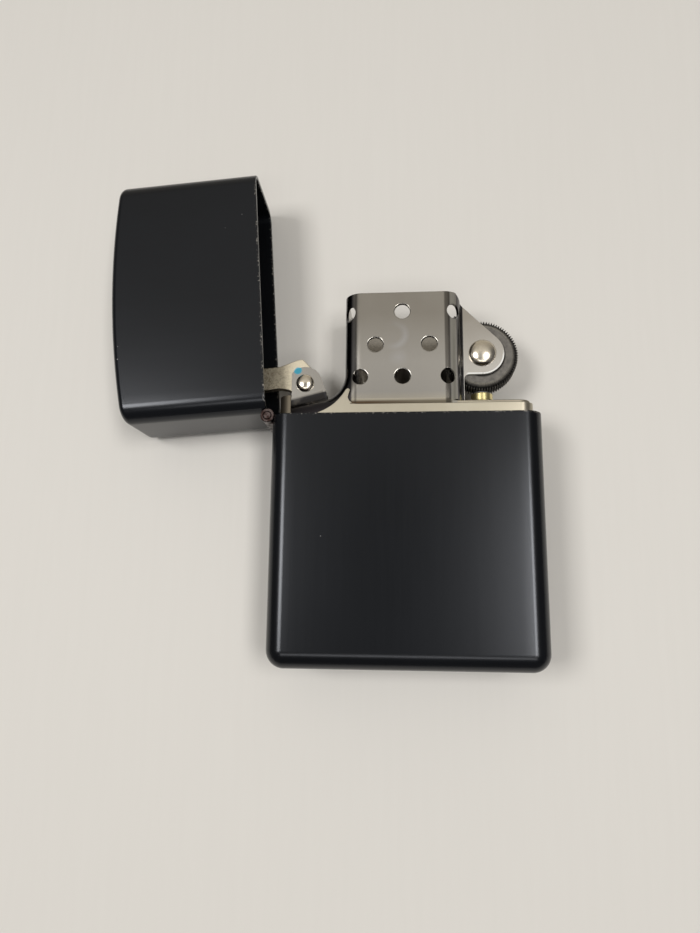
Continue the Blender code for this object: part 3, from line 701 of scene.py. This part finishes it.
def table_top():
    """Pale table that vanishes for a camera behind it, so the back can be seen and lit."""
    s = Shader("table_top")
    streaks = s.noise((900, 900, 55), detail=3.0)
    drift = s.noise((14, 14, 9), detail=1.0)
    color = s.mix(s.span(streaks, 0.3, 0.7), (0.700, 0.683, 0.650), (0.710, 0.693, 0.660))
    color = s.mix(s.span(drift, 0.3, 0.7, 0.0, 0.25), color, (0.68, 0.66, 0.622))
    s.put(Base_Color=color, Roughness=0.6, Specular_IOR_Level=0.3)
    views = {"vector_type": "VECTOR", "convert_from": "WORLD", "convert_to": "CAMERA"}
    facing = s.node("VectorTransform", views, Vector=(0.0, -1.0, 0.0))
    ahead = s.node("SeparateXYZ", Vector=facing.outputs[0]).outputs["Z"]
    clear = s.node("BsdfTransparent").outputs[0]
    blend = s.node("MixShader")
    parts = (s.calc("GREATER_THAN", ahead, 0.1), s.surface.outputs[0], clear)
    for socket, part in zip(blend.inputs, parts):
        s.feed(socket, part)
    s.feed(s.tree.nodes["Material Output"].inputs["Surface"], blend.outputs[0])
    return s.mat


# ---- case and lid
def plan_ring(half_x, half_y, radius, arcs=10, flats=24):
    """A rounded rectangle in plan, from its front right corner round to its back."""
    run = 2 * (half_x - radius)
    front = arc(half_x - radius, radius - half_y, radius, 0, -90, arcs)
    front += [(half_x - radius - run * i / flats, -half_y) for i in range(1, flats)]
    front += arc(radius - half_x, radius - half_y, radius, -90, -180, arcs)
    return front + [(x, -y) for x, y in reversed(front)]


def stacked(half_x, half_y, corner, rows):
    """Rounded rectangles in plan, one for each (inset, height)."""
    return [[(x, y, height) for x, y in plan_ring(half_x - inset, half_y - inset, corner - inset)]
            for inset, height in rows]


def can(name, rows, dome=0.0):
    """A closed shell from rows of (inset, corner, height, whether it follows the dome)."""
    rings = []
    for inset, corner, height, domed in rows:
        plan = plan_ring(CASE_HX - inset, CASE_HY - inset, max(corner, 0.2 * MM))
        sag = dome if domed else 0.0
        rings.append([(x, y, height - sag * (x / CASE_HX) ** 2) for x, y in plan])
    return laddered(name, rings)


def can_rows(closed_end, open_end, edge, inner):
    """Section of a can: its outer edge, its rounded lip and its inside."""
    up = 1.0 if open_end > closed_end else -1.0
    cut = 0.29 * LIP
    rows = []
    for run, rise in quarter(8):
        inset = edge * run
        rows.append((inset, CORNER_R - inset, closed_end + up * edge * rise, True))
    for inset, below in ((0.0, LIP), (cut, cut), (LIP, 0.0), (WALL - LIP, 0.0),
                         (WALL - cut, cut), (WALL, LIP)):
        corner = CORNER_R - inset * (CORNER_R - INNER_R) / WALL
        rows.append((inset, corner, open_end - up * below, False))
    floor = closed_end + up * WALL
    for run, rise in reversed(quarter(8)):
        inset = inner * run
        rows.append((WALL + inset, INNER_R - inset, floor + up * inner * rise, True))
    return rows


def hinge_clearance(side):
    """Cutters for the barrel and for the leaf that steps through the wall."""
    half = BARREL_HALF + 0.12 * MM
    barrel = rod("barrel_room", BARREL_R + 0.12 * MM, -half, half, along_y(HINGE), 48)
    reach = HINGE.z + side * (BARREL_R + SEAM)
    leaf = block("leaf_room", (HINGE.x, -LEAF_HALF - SEAM, HINGE.z),
                 (HINGE.x + 1.5 * MM, LEAF_HALF + SEAM, reach))
    return [barrel, leaf]


def build_case(mat):
    rows = can_rows(0.0, CASE_TOP, BASE_EDGE_R, BASE_INNER_R)
    case = can("case_shell", rows)
    cut_out(case, hinge_clearance(-1))
    add(case, "case", mat, ["case_bottom"])


def build_lid(mat):
    rows = can_rows(LID_TOP, CASE_TOP + SEAM, LID_EDGE_R, LID_INNER_R)
    lid = can("lid_shell", rows, LID_DOME)
    cut_out(lid, hinge_clearance(1))
    lid.matrix_world = OPENING
    add(lid, "lid", mat, ["lid"])


def build_hinge(mat):
    pitch = 2 * BARREL_HALF / KNUCKLES
    edge = 0.08 * MM
    bore = 0.56 * MM
    inner = -CASE_HX + WALL + SEAM / 2
    for name, side, knuckles in (("hinge_lower_leaf", -1, (0, 2, 4)),
                                 ("hinge_upper_leaf", 1, (1, 3))):
        near = HINGE.z + side * (BARREL_R - LEAF_T)
        far = HINGE.z + side * (BARREL_R + LEAF_LEN)
        reach = HINGE.z + side * (BARREL_R - 0.01 * MM)
        leaf = block(name + "_plate", (inner, -LEAF_HALF, near),
                     (inner + LEAF_T, LEAF_HALF, far))
        pieces = []
        for k in knuckles:
            y0 = -BARREL_HALF + k * pitch + SEAM / 2
            y1 = y0 + pitch - SEAM
            profile = [(bore, y0 + edge), (bore + edge, y0), (BARREL_R - edge, y0),
                       (BARREL_R, y0 + edge), (BARREL_R, y1 - edge), (BARREL_R - edge, y1),
                       (bore + edge, y1), (bore, y1 - edge)]
            pieces.append(lathe(f"{name}_knuckle_{k}", profile, along_y(HINGE), closed=True))
            tongue = block(f"{name}_tongue_{k}",
                           (HINGE.x, max(y0, 0.02 * MM - LEAF_HALF), near),
                           (inner + LEAF_T / 2, min(y1, LEAF_HALF - 0.02 * MM), reach))
            drill = rod("bore", bore + 0.02 * MM, y0 - MM, y1 + MM, along_y(HINGE), 48)
            pieces.append(cut_out(tongue, [drill]))
        combine(leaf, pieces, "UNION")
        leaf.name = name + "_plated"
        if side > 0:
            leaf.matrix_world = OPENING
        add(leaf, "case" if side < 0 else "lid", mat, [name])


# ---- insert body
def insert_outline():
    """Everything above the insert body's top edge, in the XZ plane."""
    left = -INSERT_HX - MM
    right = INSERT_HX + MM
    points = [(left, CH_TOP), (left, POST_Z), (POST_X - 0.2 * MM, POST_Z)]
    points += arc(POST_X - 0.2 * MM, POST_Z - 0.2 * MM, 0.2 * MM, 90, 0, 3)
    points += [(POST_X, 34.8 * MM), (-13.2 * MM, 34.8 * MM)]
    points += arc(-14.5 * MM, 41.9 * MM, 7.0 * MM, -70, -29, 12)
    points += arc(-8.05 * MM, 38.42 * MM, 0.28 * MM, 120, 15, 4)
    points += arc(-6.8 * MM, 37.7 * MM, 1.3 * MM, 190, 270, 8)
    points += [(right, RIM_Z), (right, CH_TOP)]
    return points


def build_insert(mat):
    """The insert's body: a thick wall that thins to a sheet around the chimney."""
    wall, sheet = 0.45 * MM, 0.26 * MM
    low, step, top = INSERT_LOW.z, 34.2 * MM, POST_Z + MM
    section = [(0.0, low), (0.0, top), (sheet, top), (sheet, step), (wall, step - 0.3 * MM),
               (wall, low)]
    section.append(section[0])
    verts, faces = skin(stacked(INSERT_HX, INSERT_HY, INSERT_CORNER_R, section))
    body = mesh_piece("insert_body", verts, faces)
    top_cut = prism("insert_top_cut", insert_outline(), -10 * MM, 10 * MM)
    turn = Matrix.Translation((-INSERT_HX, 0, 26.5 * MM)) @ Matrix.Rotation(pi / 2, 4, "Y")
    rivet_hole = rod("rivet_hole", RIVET_BORE_R, -MM, MM, turn)
    cut_out(body, [top_cut, rivet_hole])
    round_edges(body, 0.11 * MM, 3, 50, lambda co: co.z > 34.5 * MM)
    add(body, "case", mat, ["insert_case"])


# ---- chimney
def ramp_path():
    """The outer line of the chimney's left end and its ramp, from top to bottom, in XZ."""
    cx = CH_X0 - RAMP_R
    points = [(CH_X0, CH_TOP), (CH_X0, 47.0 * MM)]
    points += arc(cx, RAMP_Z, RAMP_R, 0, RAMP_SLOPE - 90, 16)
    x, z = points[-1]
    for i in (1, 2, 3):
        x_next = x + (RAMP_X0 - x) * i / 3
        points.append((x_next, z - (x - x_next) * RAMP_FALL))
    return points


def normals(points):
    """The left-hand normal of a line of points, at each of them."""
    sides = []
    for i in range(len(points)):
        before = Vector(points[max(i - 1, 0)])
        after = Vector(points[min(i + 1, len(points) - 1)])
        along = (after - before).normalized()
        sides.append(Vector((-along.y, along.x)))
    return sides


def left_end_rows():
    """Rows of points across the left end and the ramp, front edge to back edge."""
    path = ramp_path()
    flat = CH_HY - CH_R
    turns = [radians(90 - 7.5 * i) for i in range(13)]
    section = [(-flat - CH_R * sin(a), CH_R - CH_R * cos(a)) for a in turns]
    section += [(-y, drop) for y, drop in reversed(section)]
    return [[(x + inward.x * drop, y, z + inward.y * drop) for y, drop in section]
            for (x, z), inward in zip(path, normals(path))]


def right_plan():
    """The front half of the wall in plan, from the flat's end to past the cheek."""
    points = arc(CH_X1 - CH_R, CH_R - CH_HY, CH_R, -90, 0, 12)
    points += arc(CH_X1 + BEND_R, -CHEEK_Y - BEND_R, BEND_R, 180, 90, 6)
    points.append((WHEEL.x + CHEEK_R + MM, -CHEEK_Y))
    return without_repeats(points)


def foot_rows():
    """(height, how far the wall has flared out) from the wall's foot line down."""
    return [(PLATE_Z + FOOT_H * (1 - i / 4), FOOT_OUT * (i / 4) ** 2) for i in range(5)]


def wall_half(sign):
    """Points and faces of the front wall (sign -1), or of the back wall (sign 1)."""
    verts, faces = [], []

    def put(x, y, z):
        verts.append((x, -sign * y, z))
        return len(verts) - 1

    edge = [(row[0][0], row[0][2]) for row in left_end_rows()]
    floor = PLATE_Z + FOOT_H
    left = [point for point in edge if point[1] > floor + 0.05 * MM]
    radius = RAMP_R + CH_R
    drop = RAMP_Z - floor
    left.append((CH_X0 - RAMP_R + sqrt(radius ** 2 - drop ** 2), floor))
    x_right = CH_X1 - CH_R
    flat = [put(x, -CH_HY, z) for x, z in left]
    corner = put(x_right, -CH_HY, floor)
    flat += [corner, put(x_right, -CH_HY, CH_TOP)]
    faces.append(tuple(flat))
    plan = right_plan()
    inwards = normals(plan)
    inwards[0] = Vector((0, 1))
    heights = [(CH_TOP, 0.0)] + foot_rows()
    rows = [[put(x - n.x * out, y - n.y * out, z) for (x, y), n in zip(plan, inwards)]
            for z, out in heights]
    for row, below in zip(rows, rows[1:]):
        for k in range(len(plan) - 1):
            faces.append((row[k], row[k + 1], below[k + 1], below[k]))
    x_left = left[-1][0]
    strips = [(put(x_left, -CH_HY - out, z), put(x_right, -CH_HY - out, z))
              for z, out in foot_rows()]
    for (a, b), (c, d) in zip(strips, strips[1:]):
        faces.append((a, b, d, c))
    return verts, faces


def chimney_side():
    """The side outline that the wall and its cheeks are trimmed to."""
    diagonal = WHEEL.x + WHEEL.z + CHEEK_R * sqrt(2)
    foot = CH_X1 + BEND_R
    fillet = 0.8 * MM
    low = WHEEL.z - CHEEK_R
    points = [(-20 * MM, 34 * MM), (foot, 34 * MM)]
    points += arc(foot + fillet, low - fillet, fillet, 180, 90, 8)
    points += arc(WHEEL.x, WHEEL.z, CHEEK_R, -90, 45, 24)
    points += [(diagonal - CH_TOP - MM, CH_TOP + MM), (-20 * MM, CH_TOP + MM)]
    return points


def vent_cutters():
    """One flared punch for each vent hole, front and back."""
    middle = -0.3 * MM
    places = ((-7.45, 50.26, 48), (0, 50.26, 0), (7.45, 50.26, -37), (-3.86, 45.24, 0),
              (3.86, 45.24, 0), (-6.1, 40.45, 0), (0, 40.45, 0), (6.3, 40.45, -12))
    profile = [(0.0, -1.5 * MM), (HOLE_R + HOLE_EDGE, -1.5 * MM)]
    profile += [(HOLE_R + HOLE_EDGE * rise, HOLE_EDGE * run) for run, rise in reversed(quarter(4))]
    profile += [(HOLE_R, 1.3 * MM), (0.0, 1.3 * MM)]
    cutters = []
    for x, z, degrees_round in places:
        lean = radians(degrees_round)
        for side in (-1, 1):
            centre = Vector((middle + x * MM, side * CH_HY, z * MM))
            if lean:
                corner_x = CH_X0 + CH_R if x < 0 else CH_X1 - CH_R
                centre.x = corner_x - CH_R * sin(lean)
                centre.y = side * (CH_HY - CH_R + CH_R * cos(lean))
            turn = Matrix.Rotation(side * lean, 4, "Z")
            inwards = Matrix.Rotation(side * pi / 2, 4, "X")
            place = Matrix.Translation(centre) @ turn @ inwards
            cutters.append(lathe("vent", profile, place, 32))
    return cutters


def ear_outline():
    """An ear in the XZ plane: upright on its left, round on top, down to the ramp."""
    right = -11.45 * MM
    start = degrees(acos((EAR_LEFT - CAM.x) / EAR_R))
    points = [(EAR_LEFT, EAR_FOOT_Z)]
    points += arc(CAM.x, CAM.z, EAR_R, start, 12, 24)
    points += [(-11.71 * MM, 39.66 * MM), (right, EAR_FOOT_Z + (right - EAR_LEFT) * RAMP_FALL)]
    return points


def ear_foot(side):
    """The ear's foot: a concave fillet from the ear's face down to the ramp."""
    fall = radians(RAMP_SLOPE)
    up = Vector((-sin(fall), 0, cos(fall)))
    along = Vector((cos(fall), 0, sin(fall)))
    base = Vector((RAMP_X0, 0, ramp_path()[-1][1]))
    start, sunk = 0.13 * MM, -0.2 * MM
    length = 5.4 * MM
    flare = 0.9 * MM                # how much longer the fillet is where it meets the ramp
    steps = 10
    section = [(EAR_OUT + FILLET_W * rise, FILLET_H * run, flare * (i / steps) ** 2)
               for i, (run, rise) in enumerate(quarter(steps))]
    section += [(EAR_OUT + FILLET_W, sunk, 0.0), (EAR_IN, sunk, 0.0), (EAR_IN, FILLET_H, 0.0)]
    rings = []
    for share in (0.0, 0.25, 0.5, 0.75, 1.0):
        ring = []
        for y, height, extra in section:
            point = base + along * (start + share * (length + extra)) + up * height
            ring.append((point.x, side * y, point.z))
        rings.append(ring)
    return capped("ear_foot", rings)


def on_cheek_rim(co):
    """Whether a point lies on the outer rim of a wheel cheek, and not on its bore."""
    outside = abs(co.y) > 0.995 * CHEEK_Y and co.x > CH_X1 + BEND_R - 0.01 * MM
    return outside and (co.xz - WHEEL.xz).length > 1.5 * MM


def build_chimney(mat):
    verts, faces = skin(left_end_rows(), cyclic=False)
    for sign in (-1, 1):
        more_verts, more_faces = wall_half(sign)
        faces += [tuple(index + len(verts) for index in face) for face in more_faces]
        verts += more_verts
    guard = mesh_piece("chimney_guard", verts, faces)
    sheet = guard.modifiers.new("thickness", "SOLIDIFY")
    sheet.thickness = SHEET
    sheet.offset = -1.0
    sheet.use_even_offset = True
    bake(guard)
    side = prism("chimney_side", chimney_side(), -8 * MM, 8 * MM)
    combine(guard, [side], "INTERSECT")
    cut_out(guard, vent_cutters())
    axle = rod("axle_hole", 1.06 * MM, -4 * MM, 4 * MM, along_y(WHEEL), 32)
    slot = block("cam_slot", (RAMP_X0 - MM, -0.8 * MM, 34 * MM), (-12.3 * MM, 0.8 * MM, 38.5 * MM))
    arches = [rod("foot_arch", 0.72 * MM, -1.6 * MM, 1.6 * MM,
                  along_y((7.45 * MM, y, PLATE_Z))) for y in (-4.6 * MM, 4.6 * MM)]
    cut_out(guard, [axle, slot] + arches)
    round_edges(guard, 0.26 * MM, 4, 50, on_cheek_rim)
    round_edges(guard, 0.07 * MM, 2, 50, lambda co: co.z > CH_TOP - 0.01 * MM)
    add(guard, "case", mat, ["chimney"])
    plate = slab("top_plate", plate_plan(), PLATE_Z, PLATE_Z + SHEET)
    holes = [rod("plate_hole", radius, -MM, MM, Matrix.Translation((x, 0, PLATE_Z)), 40)
             for x, radius in ((-0.5 * MM, 1.75 * MM), (WHEEL.x, COLLAR_BORE_R))]
    cut_out(plate, holes)
    round_edges(plate, 0.12 * MM, 3)
    add(plate, "case", mat, ["chimney"])
    for side, name in ((-1, "cam_ear_front"), (1, "cam_ear_back")):
        ear = prism(name, ear_outline(), *sorted((side * EAR_IN, side * EAR_OUT)))
        combine(ear, [ear_foot(side)], "UNION")
        bore = rod("ear_bore", RIVET_BORE_R, -2 * MM, 2 * MM, along_y(CAM))
        cut_out(ear, [bore])
        round_edges(ear, 0.06 * MM, 2, 50, lambda co: co.z > 38.5 * MM
                    and (co.xz - CAM.xz).length > 1.5 * MM)
        add(ear, "case", mat, ["chimney"])


def plate_plan():
    left, right = CH_X0 + 0.15 * MM, 17.6 * MM
    return [(x + (left + right) / 2, y)
            for x, y in plan_ring((right - left) / 2, 5.45 * MM, INSERT_CORNER_R)]


# ---- cam and rivets
def cam_outline():
    """The cam about its rivet: an arm to the left, a peak above and a round heel."""
    points = [(-6.35, 2.62), (-4.0, 2.85), (-2.5, 3.4), (-1.3, 3.87)]
    points += arc(-0.68, 3.55, 0.42, 115, 42, 5)
    points += [(0.6, 2.78), (1.2, 2.1), (1.7, 1.45)]
    points += arc(0, 0, 2.2, 30, -150, 28)
    points += [(-2.6, -0.8), (-3.3, -0.64), (-4.0, -0.58), (-4.6, -0.62), (-5.2, -0.72),
               (-6.4, -0.88)]
    points += arc(-6.6, 0.9, 1.75, 265, 95, 20)
    return [(CAM.x + x * MM, CAM.z + z * MM) for x, z in points]


def build_cam(mat):
    cam = prism("cam_lever", cam_outline(), -0.7 * MM, 0.7 * MM)
    bore = rod("cam_bore", RIVET_BORE_R, -2 * MM, 2 * MM, along_y(CAM))
    cut_out(cam, [bore])
    round_edges(cam, 0.09 * MM, 3, 50)
    add(cam, "cam", mat, ["cam"])


def rivet(name, pivot, shaft, head, height, face):
    """A rivet along Y with two polished domes."""
    base = face + 0.08 * MM
    dome = [(head * (1 - run), base + height * (1 - rise)) for run, rise in quarter(14)]
    half = dome + [(head - 0.03 * MM, face), (shaft, face)]
    profile = half + [(r, -h) for r, h in reversed(half)]
    return lathe(name, profile, along_y(pivot), 64)


def build_rivets(mat):
    small = rivet("cam_rivet_domed", CAM, 0.6 * MM, CAM_HEAD_R, 0.62 * MM, 1.33 * MM)
    add(small, "case", mat, ["cam_rivet"], sharp=45)
    large = rivet("wheel_rivet_domed", WHEEL, 1.0 * MM, WHEEL_HEAD_R, 0.84 * MM, 2.53 * MM)
    add(large, "case", mat, ["wheel_rivet"], sharp=45)


# ---- striker wheel and flint
def build_wheel(mat):
    """A wheel with fine slanted teeth, a chamfer at each side and a smooth face."""
    teeth = 84
    saw = (0.0, 0.1, 1.0, 1.0, 0.8)
    count = teeth * len(saw)
    depth = 0.34 * MM
    stations = [(-1.85, 1.06, 0), (-1.85, 3.2, 0), (-1.85, 4.36, 0), (-1.78, 4.46, 0.1),
                (-1.56, 5.1, 0.8), (-1.46, 5.3, 1.0)]
    stations += [(y, 5.3, 1.0) for y in (-0.95, -0.475, 0.0, 0.475, 0.95)]
    stations += [(-y, r, cut) for y, r, cut in reversed(stations[:6])]
    rings = []
    for y, radius, cut in stations:
        ring = []
        for k in range(count):
            angle = 2 * pi * k / count + TOOTH_SLANT * y
            r = radius * MM - depth * cut * saw[k % len(saw)]
            ring.append((WHEEL.x + r * cos(angle), y * MM, WHEEL.z + r * sin(angle)))
        rings.append(ring)
    rings.append(rings[0])
    verts, faces = skin(rings)
    wheel = mesh_piece("serrated_wheel", verts, faces)
    add(wheel, "striker_wheel", mat, ["striker_wheel"], sharp=28)


def build_flint_tube(mat):
    axis = Matrix.Translation((WHEEL.x, 0, 0))
    outer, inner, low, high = 1.6 * MM, 1.25 * MM, 2.8 * MM, 39.1 * MM
    e = 0.1 * MM
    profile = [(outer, low + e), (outer, high - e), (outer - 0.3 * e, high - 0.3 * e),
               (outer - e, high), (inner + e, high), (inner, high - e), (inner, low + e),
               (inner + e, low), (outer - e, low)]
    add(lathe("brass_tube", profile, axis, 48, closed=True), "case", mat,
        ["flint_tube"])
    seat = PLATE_Z + SHEET + SEAM
    brim, rise, top = 2.35 * MM, 0.45 * MM, seat + 1.1 * MM
    collar = [(COLLAR_BORE_R, seat), (brim - e, seat), (brim, seat + e),
              (brim, seat + rise - e), (brim - e, seat + rise)]
    collar += arc(2.2 * MM, seat + 0.72 * MM, 0.27 * MM, 270, 180, 4)
    collar += [(1.93 * MM, top - e), (1.93 * MM - e, top), (COLLAR_BORE_R, top)]
    add(lathe("brass_collar", collar, axis, 48, closed=True), "case", mat,
        ["flint_tube_collar"])


# ---- wick, wads and felt
def wick_path():
    """The wick's line: down from the flame, then back and forth between the wads."""
    x, z, pitch = -0.5 * MM, 34.0 * MM, 6.4 * MM
    left, right = -15.3 * MM, 7.6 * MM
    corners = [(x, 43.2 * MM), (x, z)]
    for side in (right, left, right, left):
        corners += [(side, z), (side, z - pitch)]
        z -= pitch
    corners.append((4.0 * MM, z))
    corners = [Vector((cx, 0, cz)) for cx, cz in corners]
    bend = 1.9 * MM
    line = [corners[0]]
    for before, corner, after in zip(corners, corners[1:], corners[2:]):
        start = (before - corner).normalized() * bend
        end = (after - corner).normalized() * bend
        line += [corner + start * run + end * rise for run, rise in quarter(12)]
    line.append(corners[-1])
    points = [line[0]]
    for a, b in zip(line, line[1:]):
        steps = max(1, round((b - a).length / (0.45 * MM)))
        points += [a.lerp(b, i / steps) for i in range(1, steps + 1)]
    return points


def build_wick(mat):
    """A cord of five twisted strands, frayed at its burnt end."""
    def strand(turn, along):
        lobe = abs(cos(2.5 * turn - along / (0.9 * MM)))
        fray = 0.10 * noise.noise(Vector((turn * 2, along / MM, 3.0)))
        return (1.14 + 0.19 * lobe + fray * 0.5) * MM
    wick = sweep("cotton_wick", wick_path(), strand)
    add(wick, "case", mat, ["wick"], sharp=80)


def soft_block(name, low, high, seed, swell):
    """A wad of fibre: a crowned block with uneven, pinched sides."""
    bm = bmesh.new()
    bmesh.ops.create_cube(bm, size=2.0)
    bmesh.ops.subdivide_edges(bm, edges=bm.edges, cuts=15, use_grid_fill=True)
    middle = (Vector(low) + Vector(high)) / 2
    half = (Vector(high) - Vector(low)) / 2
    for vert in bm.verts:
        x, y, z = vert.co
        length = (abs(x) ** 6 + abs(y) ** 6 + abs(z) ** 6) ** (1 / 6)
        place = Vector((x, y, z)) / length
        lump = noise.fractal(place * 2.2 + Vector((seed, 0, 0)), 0.8, 2.0, 4)
        shrink = 1.0 - swell * (0.5 + 0.5 * lump)
        place = place * shrink
        vert.co = middle + Vector((place.x * half.x, place.y * half.y, place.z * half.z))
    mesh = bpy.data.meshes.new(name)
    bm.to_mesh(mesh)
    bm.free()
    return link(bpy.data.objects.new(name, mesh))


def build_packing(mat):
    for i in range(1, 6):
        low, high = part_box(f"wad_{i}")
        wad = soft_block(f"rayon_wad_{i}", low, high, 7.3 * i, 0.12)
        add(wad, "case", mat, [f"wad_{i}"], sharp=80)


def build_felt(mat):
    """A soft-edged pad with a round hole for the flint screw."""
    low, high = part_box("felt_pad")
    rim = 0.45 * MM
    rows = [(rim * run, low.z + rim * rise) for run, rise in quarter(6)]
    rows += [(inset, low.z + high.z - height) for inset, height in reversed(rows)]
    pad = laddered("felt_bottom", stacked(high.x, high.y, 1.4 * MM, rows))
    hole = rod("felt_hole", 2.2 * MM, -3 * MM, 3 * MM, Matrix.Translation((WHEEL.x, 0, low.z)), 40)
    cut_out(pad, [hole])
    add(pad, "case", mat, ["felt_pad"], sharp=50)


# ---- stage, light and camera
def build_stage():
    """The pale table that the lighter lies on, close behind its back face."""
    y = CASE_HY + 0.06 * MM
    reach = 0.9
    table = mesh_piece("table", [(-reach, y, -reach), (reach, y, -reach), (reach, y, reach),
                                 (-reach, y, reach)], [(0, 1, 2, 3)])
    if table.data.polygons[0].normal.y > 0:
        table.data.flip_normals()
    paint(table.data, table_top())


# Name, direction from the lighter, width, height (m) and power (W)
SOFTBOXES = (("softbox_left", (-0.45, -0.89, 0.02), 0.16, 0.20, 1.45),
             ("softbox_right", (0.37, -0.93, -0.03), 0.12, 0.24, 1.35),
             ("softbox_low", (0.05, -0.86, -0.50), 0.42, 0.09, 0.4))


def build_lights():
    """Rectangular lights 0.6 m away that face the lighter."""
    for name, direction, width, height, power in SOFTBOXES:
        light = bpy.data.lights.new(name, "AREA")
        light.shape = "RECTANGLE"
        light.size = width
        light.size_y = height
        light.energy = power
        light.color = (1.0, 0.98, 0.95)
        lamp = link(bpy.data.objects.new(name, light))
        away = Vector(direction).normalized()
        lamp.location = Vector((-0.01, 0, 0.035)) + away * 0.6
        lamp.rotation_euler = (-away).to_track_quat("-Z", "Y").to_euler()


# Direction, cosine where a patch starts, cosine where it is full, colour
ROOM_LAYERS = (((0.0, 0.98, 0.2), 0.10, 0.80, (0.75, 0.73, 0.69)),
               ((0.0, -0.25, 0.97), 0.50, 0.92, (0.40, 0.37, 0.32)),
               ((0.0, -0.98, 0.2), 0.74, 0.99, (0.62, 0.59, 0.54)),
               ((-0.03, -0.995, -0.04), 0.930, 0.985, (0.07, 0.075, 0.085)))


def build_world():
    """A dim room with a pale ceiling in front, dark where a viewer would lean over."""
    world = bpy.data.worlds.new("room")
    world.use_nodes = True
    bpy.context.scene.world = world
    room = Nodes(world.node_tree)
    place = room.node("TexCoord").outputs["Generated"]
    shade = (0.10, 0.098, 0.10)
    for axis, edge, full, color in ROOM_LAYERS:
        dot = room.node("VectorMath", {"operation": "DOT_PRODUCT"})
        room.feed(dot.inputs[0], place)
        dot.inputs[1].default_value = Vector(axis).normalized()
        shade = room.mix(room.span(dot.outputs["Value"], edge, full), shade, color)
    seen = room.node("LightPath").outputs["Is Camera Ray"]
    backdrop = room.mix(seen, shade, (0.62, 0.60, 0.56))
    room.feed(room.tree.nodes["Background"].inputs["Color"], backdrop)


def build_camera():
    """A camera in front of the lighter and below its middle, looking slightly up."""
    data = bpy.data.cameras.new("camera")
    data.sensor_width = 36.0
    data.lens = 26.08
    data.clip_start = 0.001
    camera = link(bpy.data.objects.new("camera", data))
    right = Vector((0.99680, 0.07940, 0.00938))
    up = Vector((0.00545, -0.18455, 0.98281))
    back = right.cross(up)
    turn = Matrix((right, up, back)).transposed()
    camera.matrix_world = Matrix.LocRotScale(Vector((-0.151, -97.723, 10.060)) * MM, turn, None)
    bpy.context.scene.camera = camera


# ---- build
chrome = dark_chrome()
nickel = polished("polished_nickel", (0.86, 0.79, 0.66), 0.19, rivet_dark_crescent)
brass = polished("brass", (0.82, 0.71, 0.36), 0.27)
spring_steel = brushed("spring_steel", (0.55, 0.55, 0.56), 0.30, (4000, 4000, 4000))

build_case(lacquer("black_lacquer", (0.0030, 0.0034, 0.0042), 0.235))
# The lid's copy of the lacquer is a little lighter and bluer: painted light, for the lid's
# brighter sheen.
build_lid(lacquer("black_lacquer_lid", (0.0034, 0.0039, 0.0050), 0.235))
build_hinge(chrome)
# The insert's warm beige tint is partly a painted reflection of the pale table.
build_insert(brushed("satin_steel", (0.50, 0.47, 0.385), 0.38, (120, 120, 9000), shaded_post))
build_chimney(brushed("brushed_steel", (0.80, 0.78, 0.74), 0.17, (9000, 9000, 110), handled))
build_cam(cam_metal())
build_rivets(nickel)
build_wheel(wheel_metal())
build_flint_tube(brass)
build_wick(charred_cotton())
build_packing(fibre("rayon", (0.86, 0.85, 0.81), (0.62, 0.60, 0.55), 2200, 0.15).mat)
build_felt(fibre("felt", (0.70, 0.69, 0.66), (0.50, 0.49, 0.46), 4200, 0.10).mat)

# The CAD nodes that stay: the small turned and bent parts inside
for node, metal in {"hinge_pin": chrome, "cam_spring": spring_steel, "cam_spring_rivet": nickel,
                    "flint": ferrocerium(), "flint_plunger": brass,
                    "flint_spring": spring_steel, "flint_screw": brass}.items():
    paint(frame["nodes"][node].data, metal)

build_stage()
build_world()
build_lights()
build_camera()
bpy.context.scene.view_settings.view_transform = "Standard"
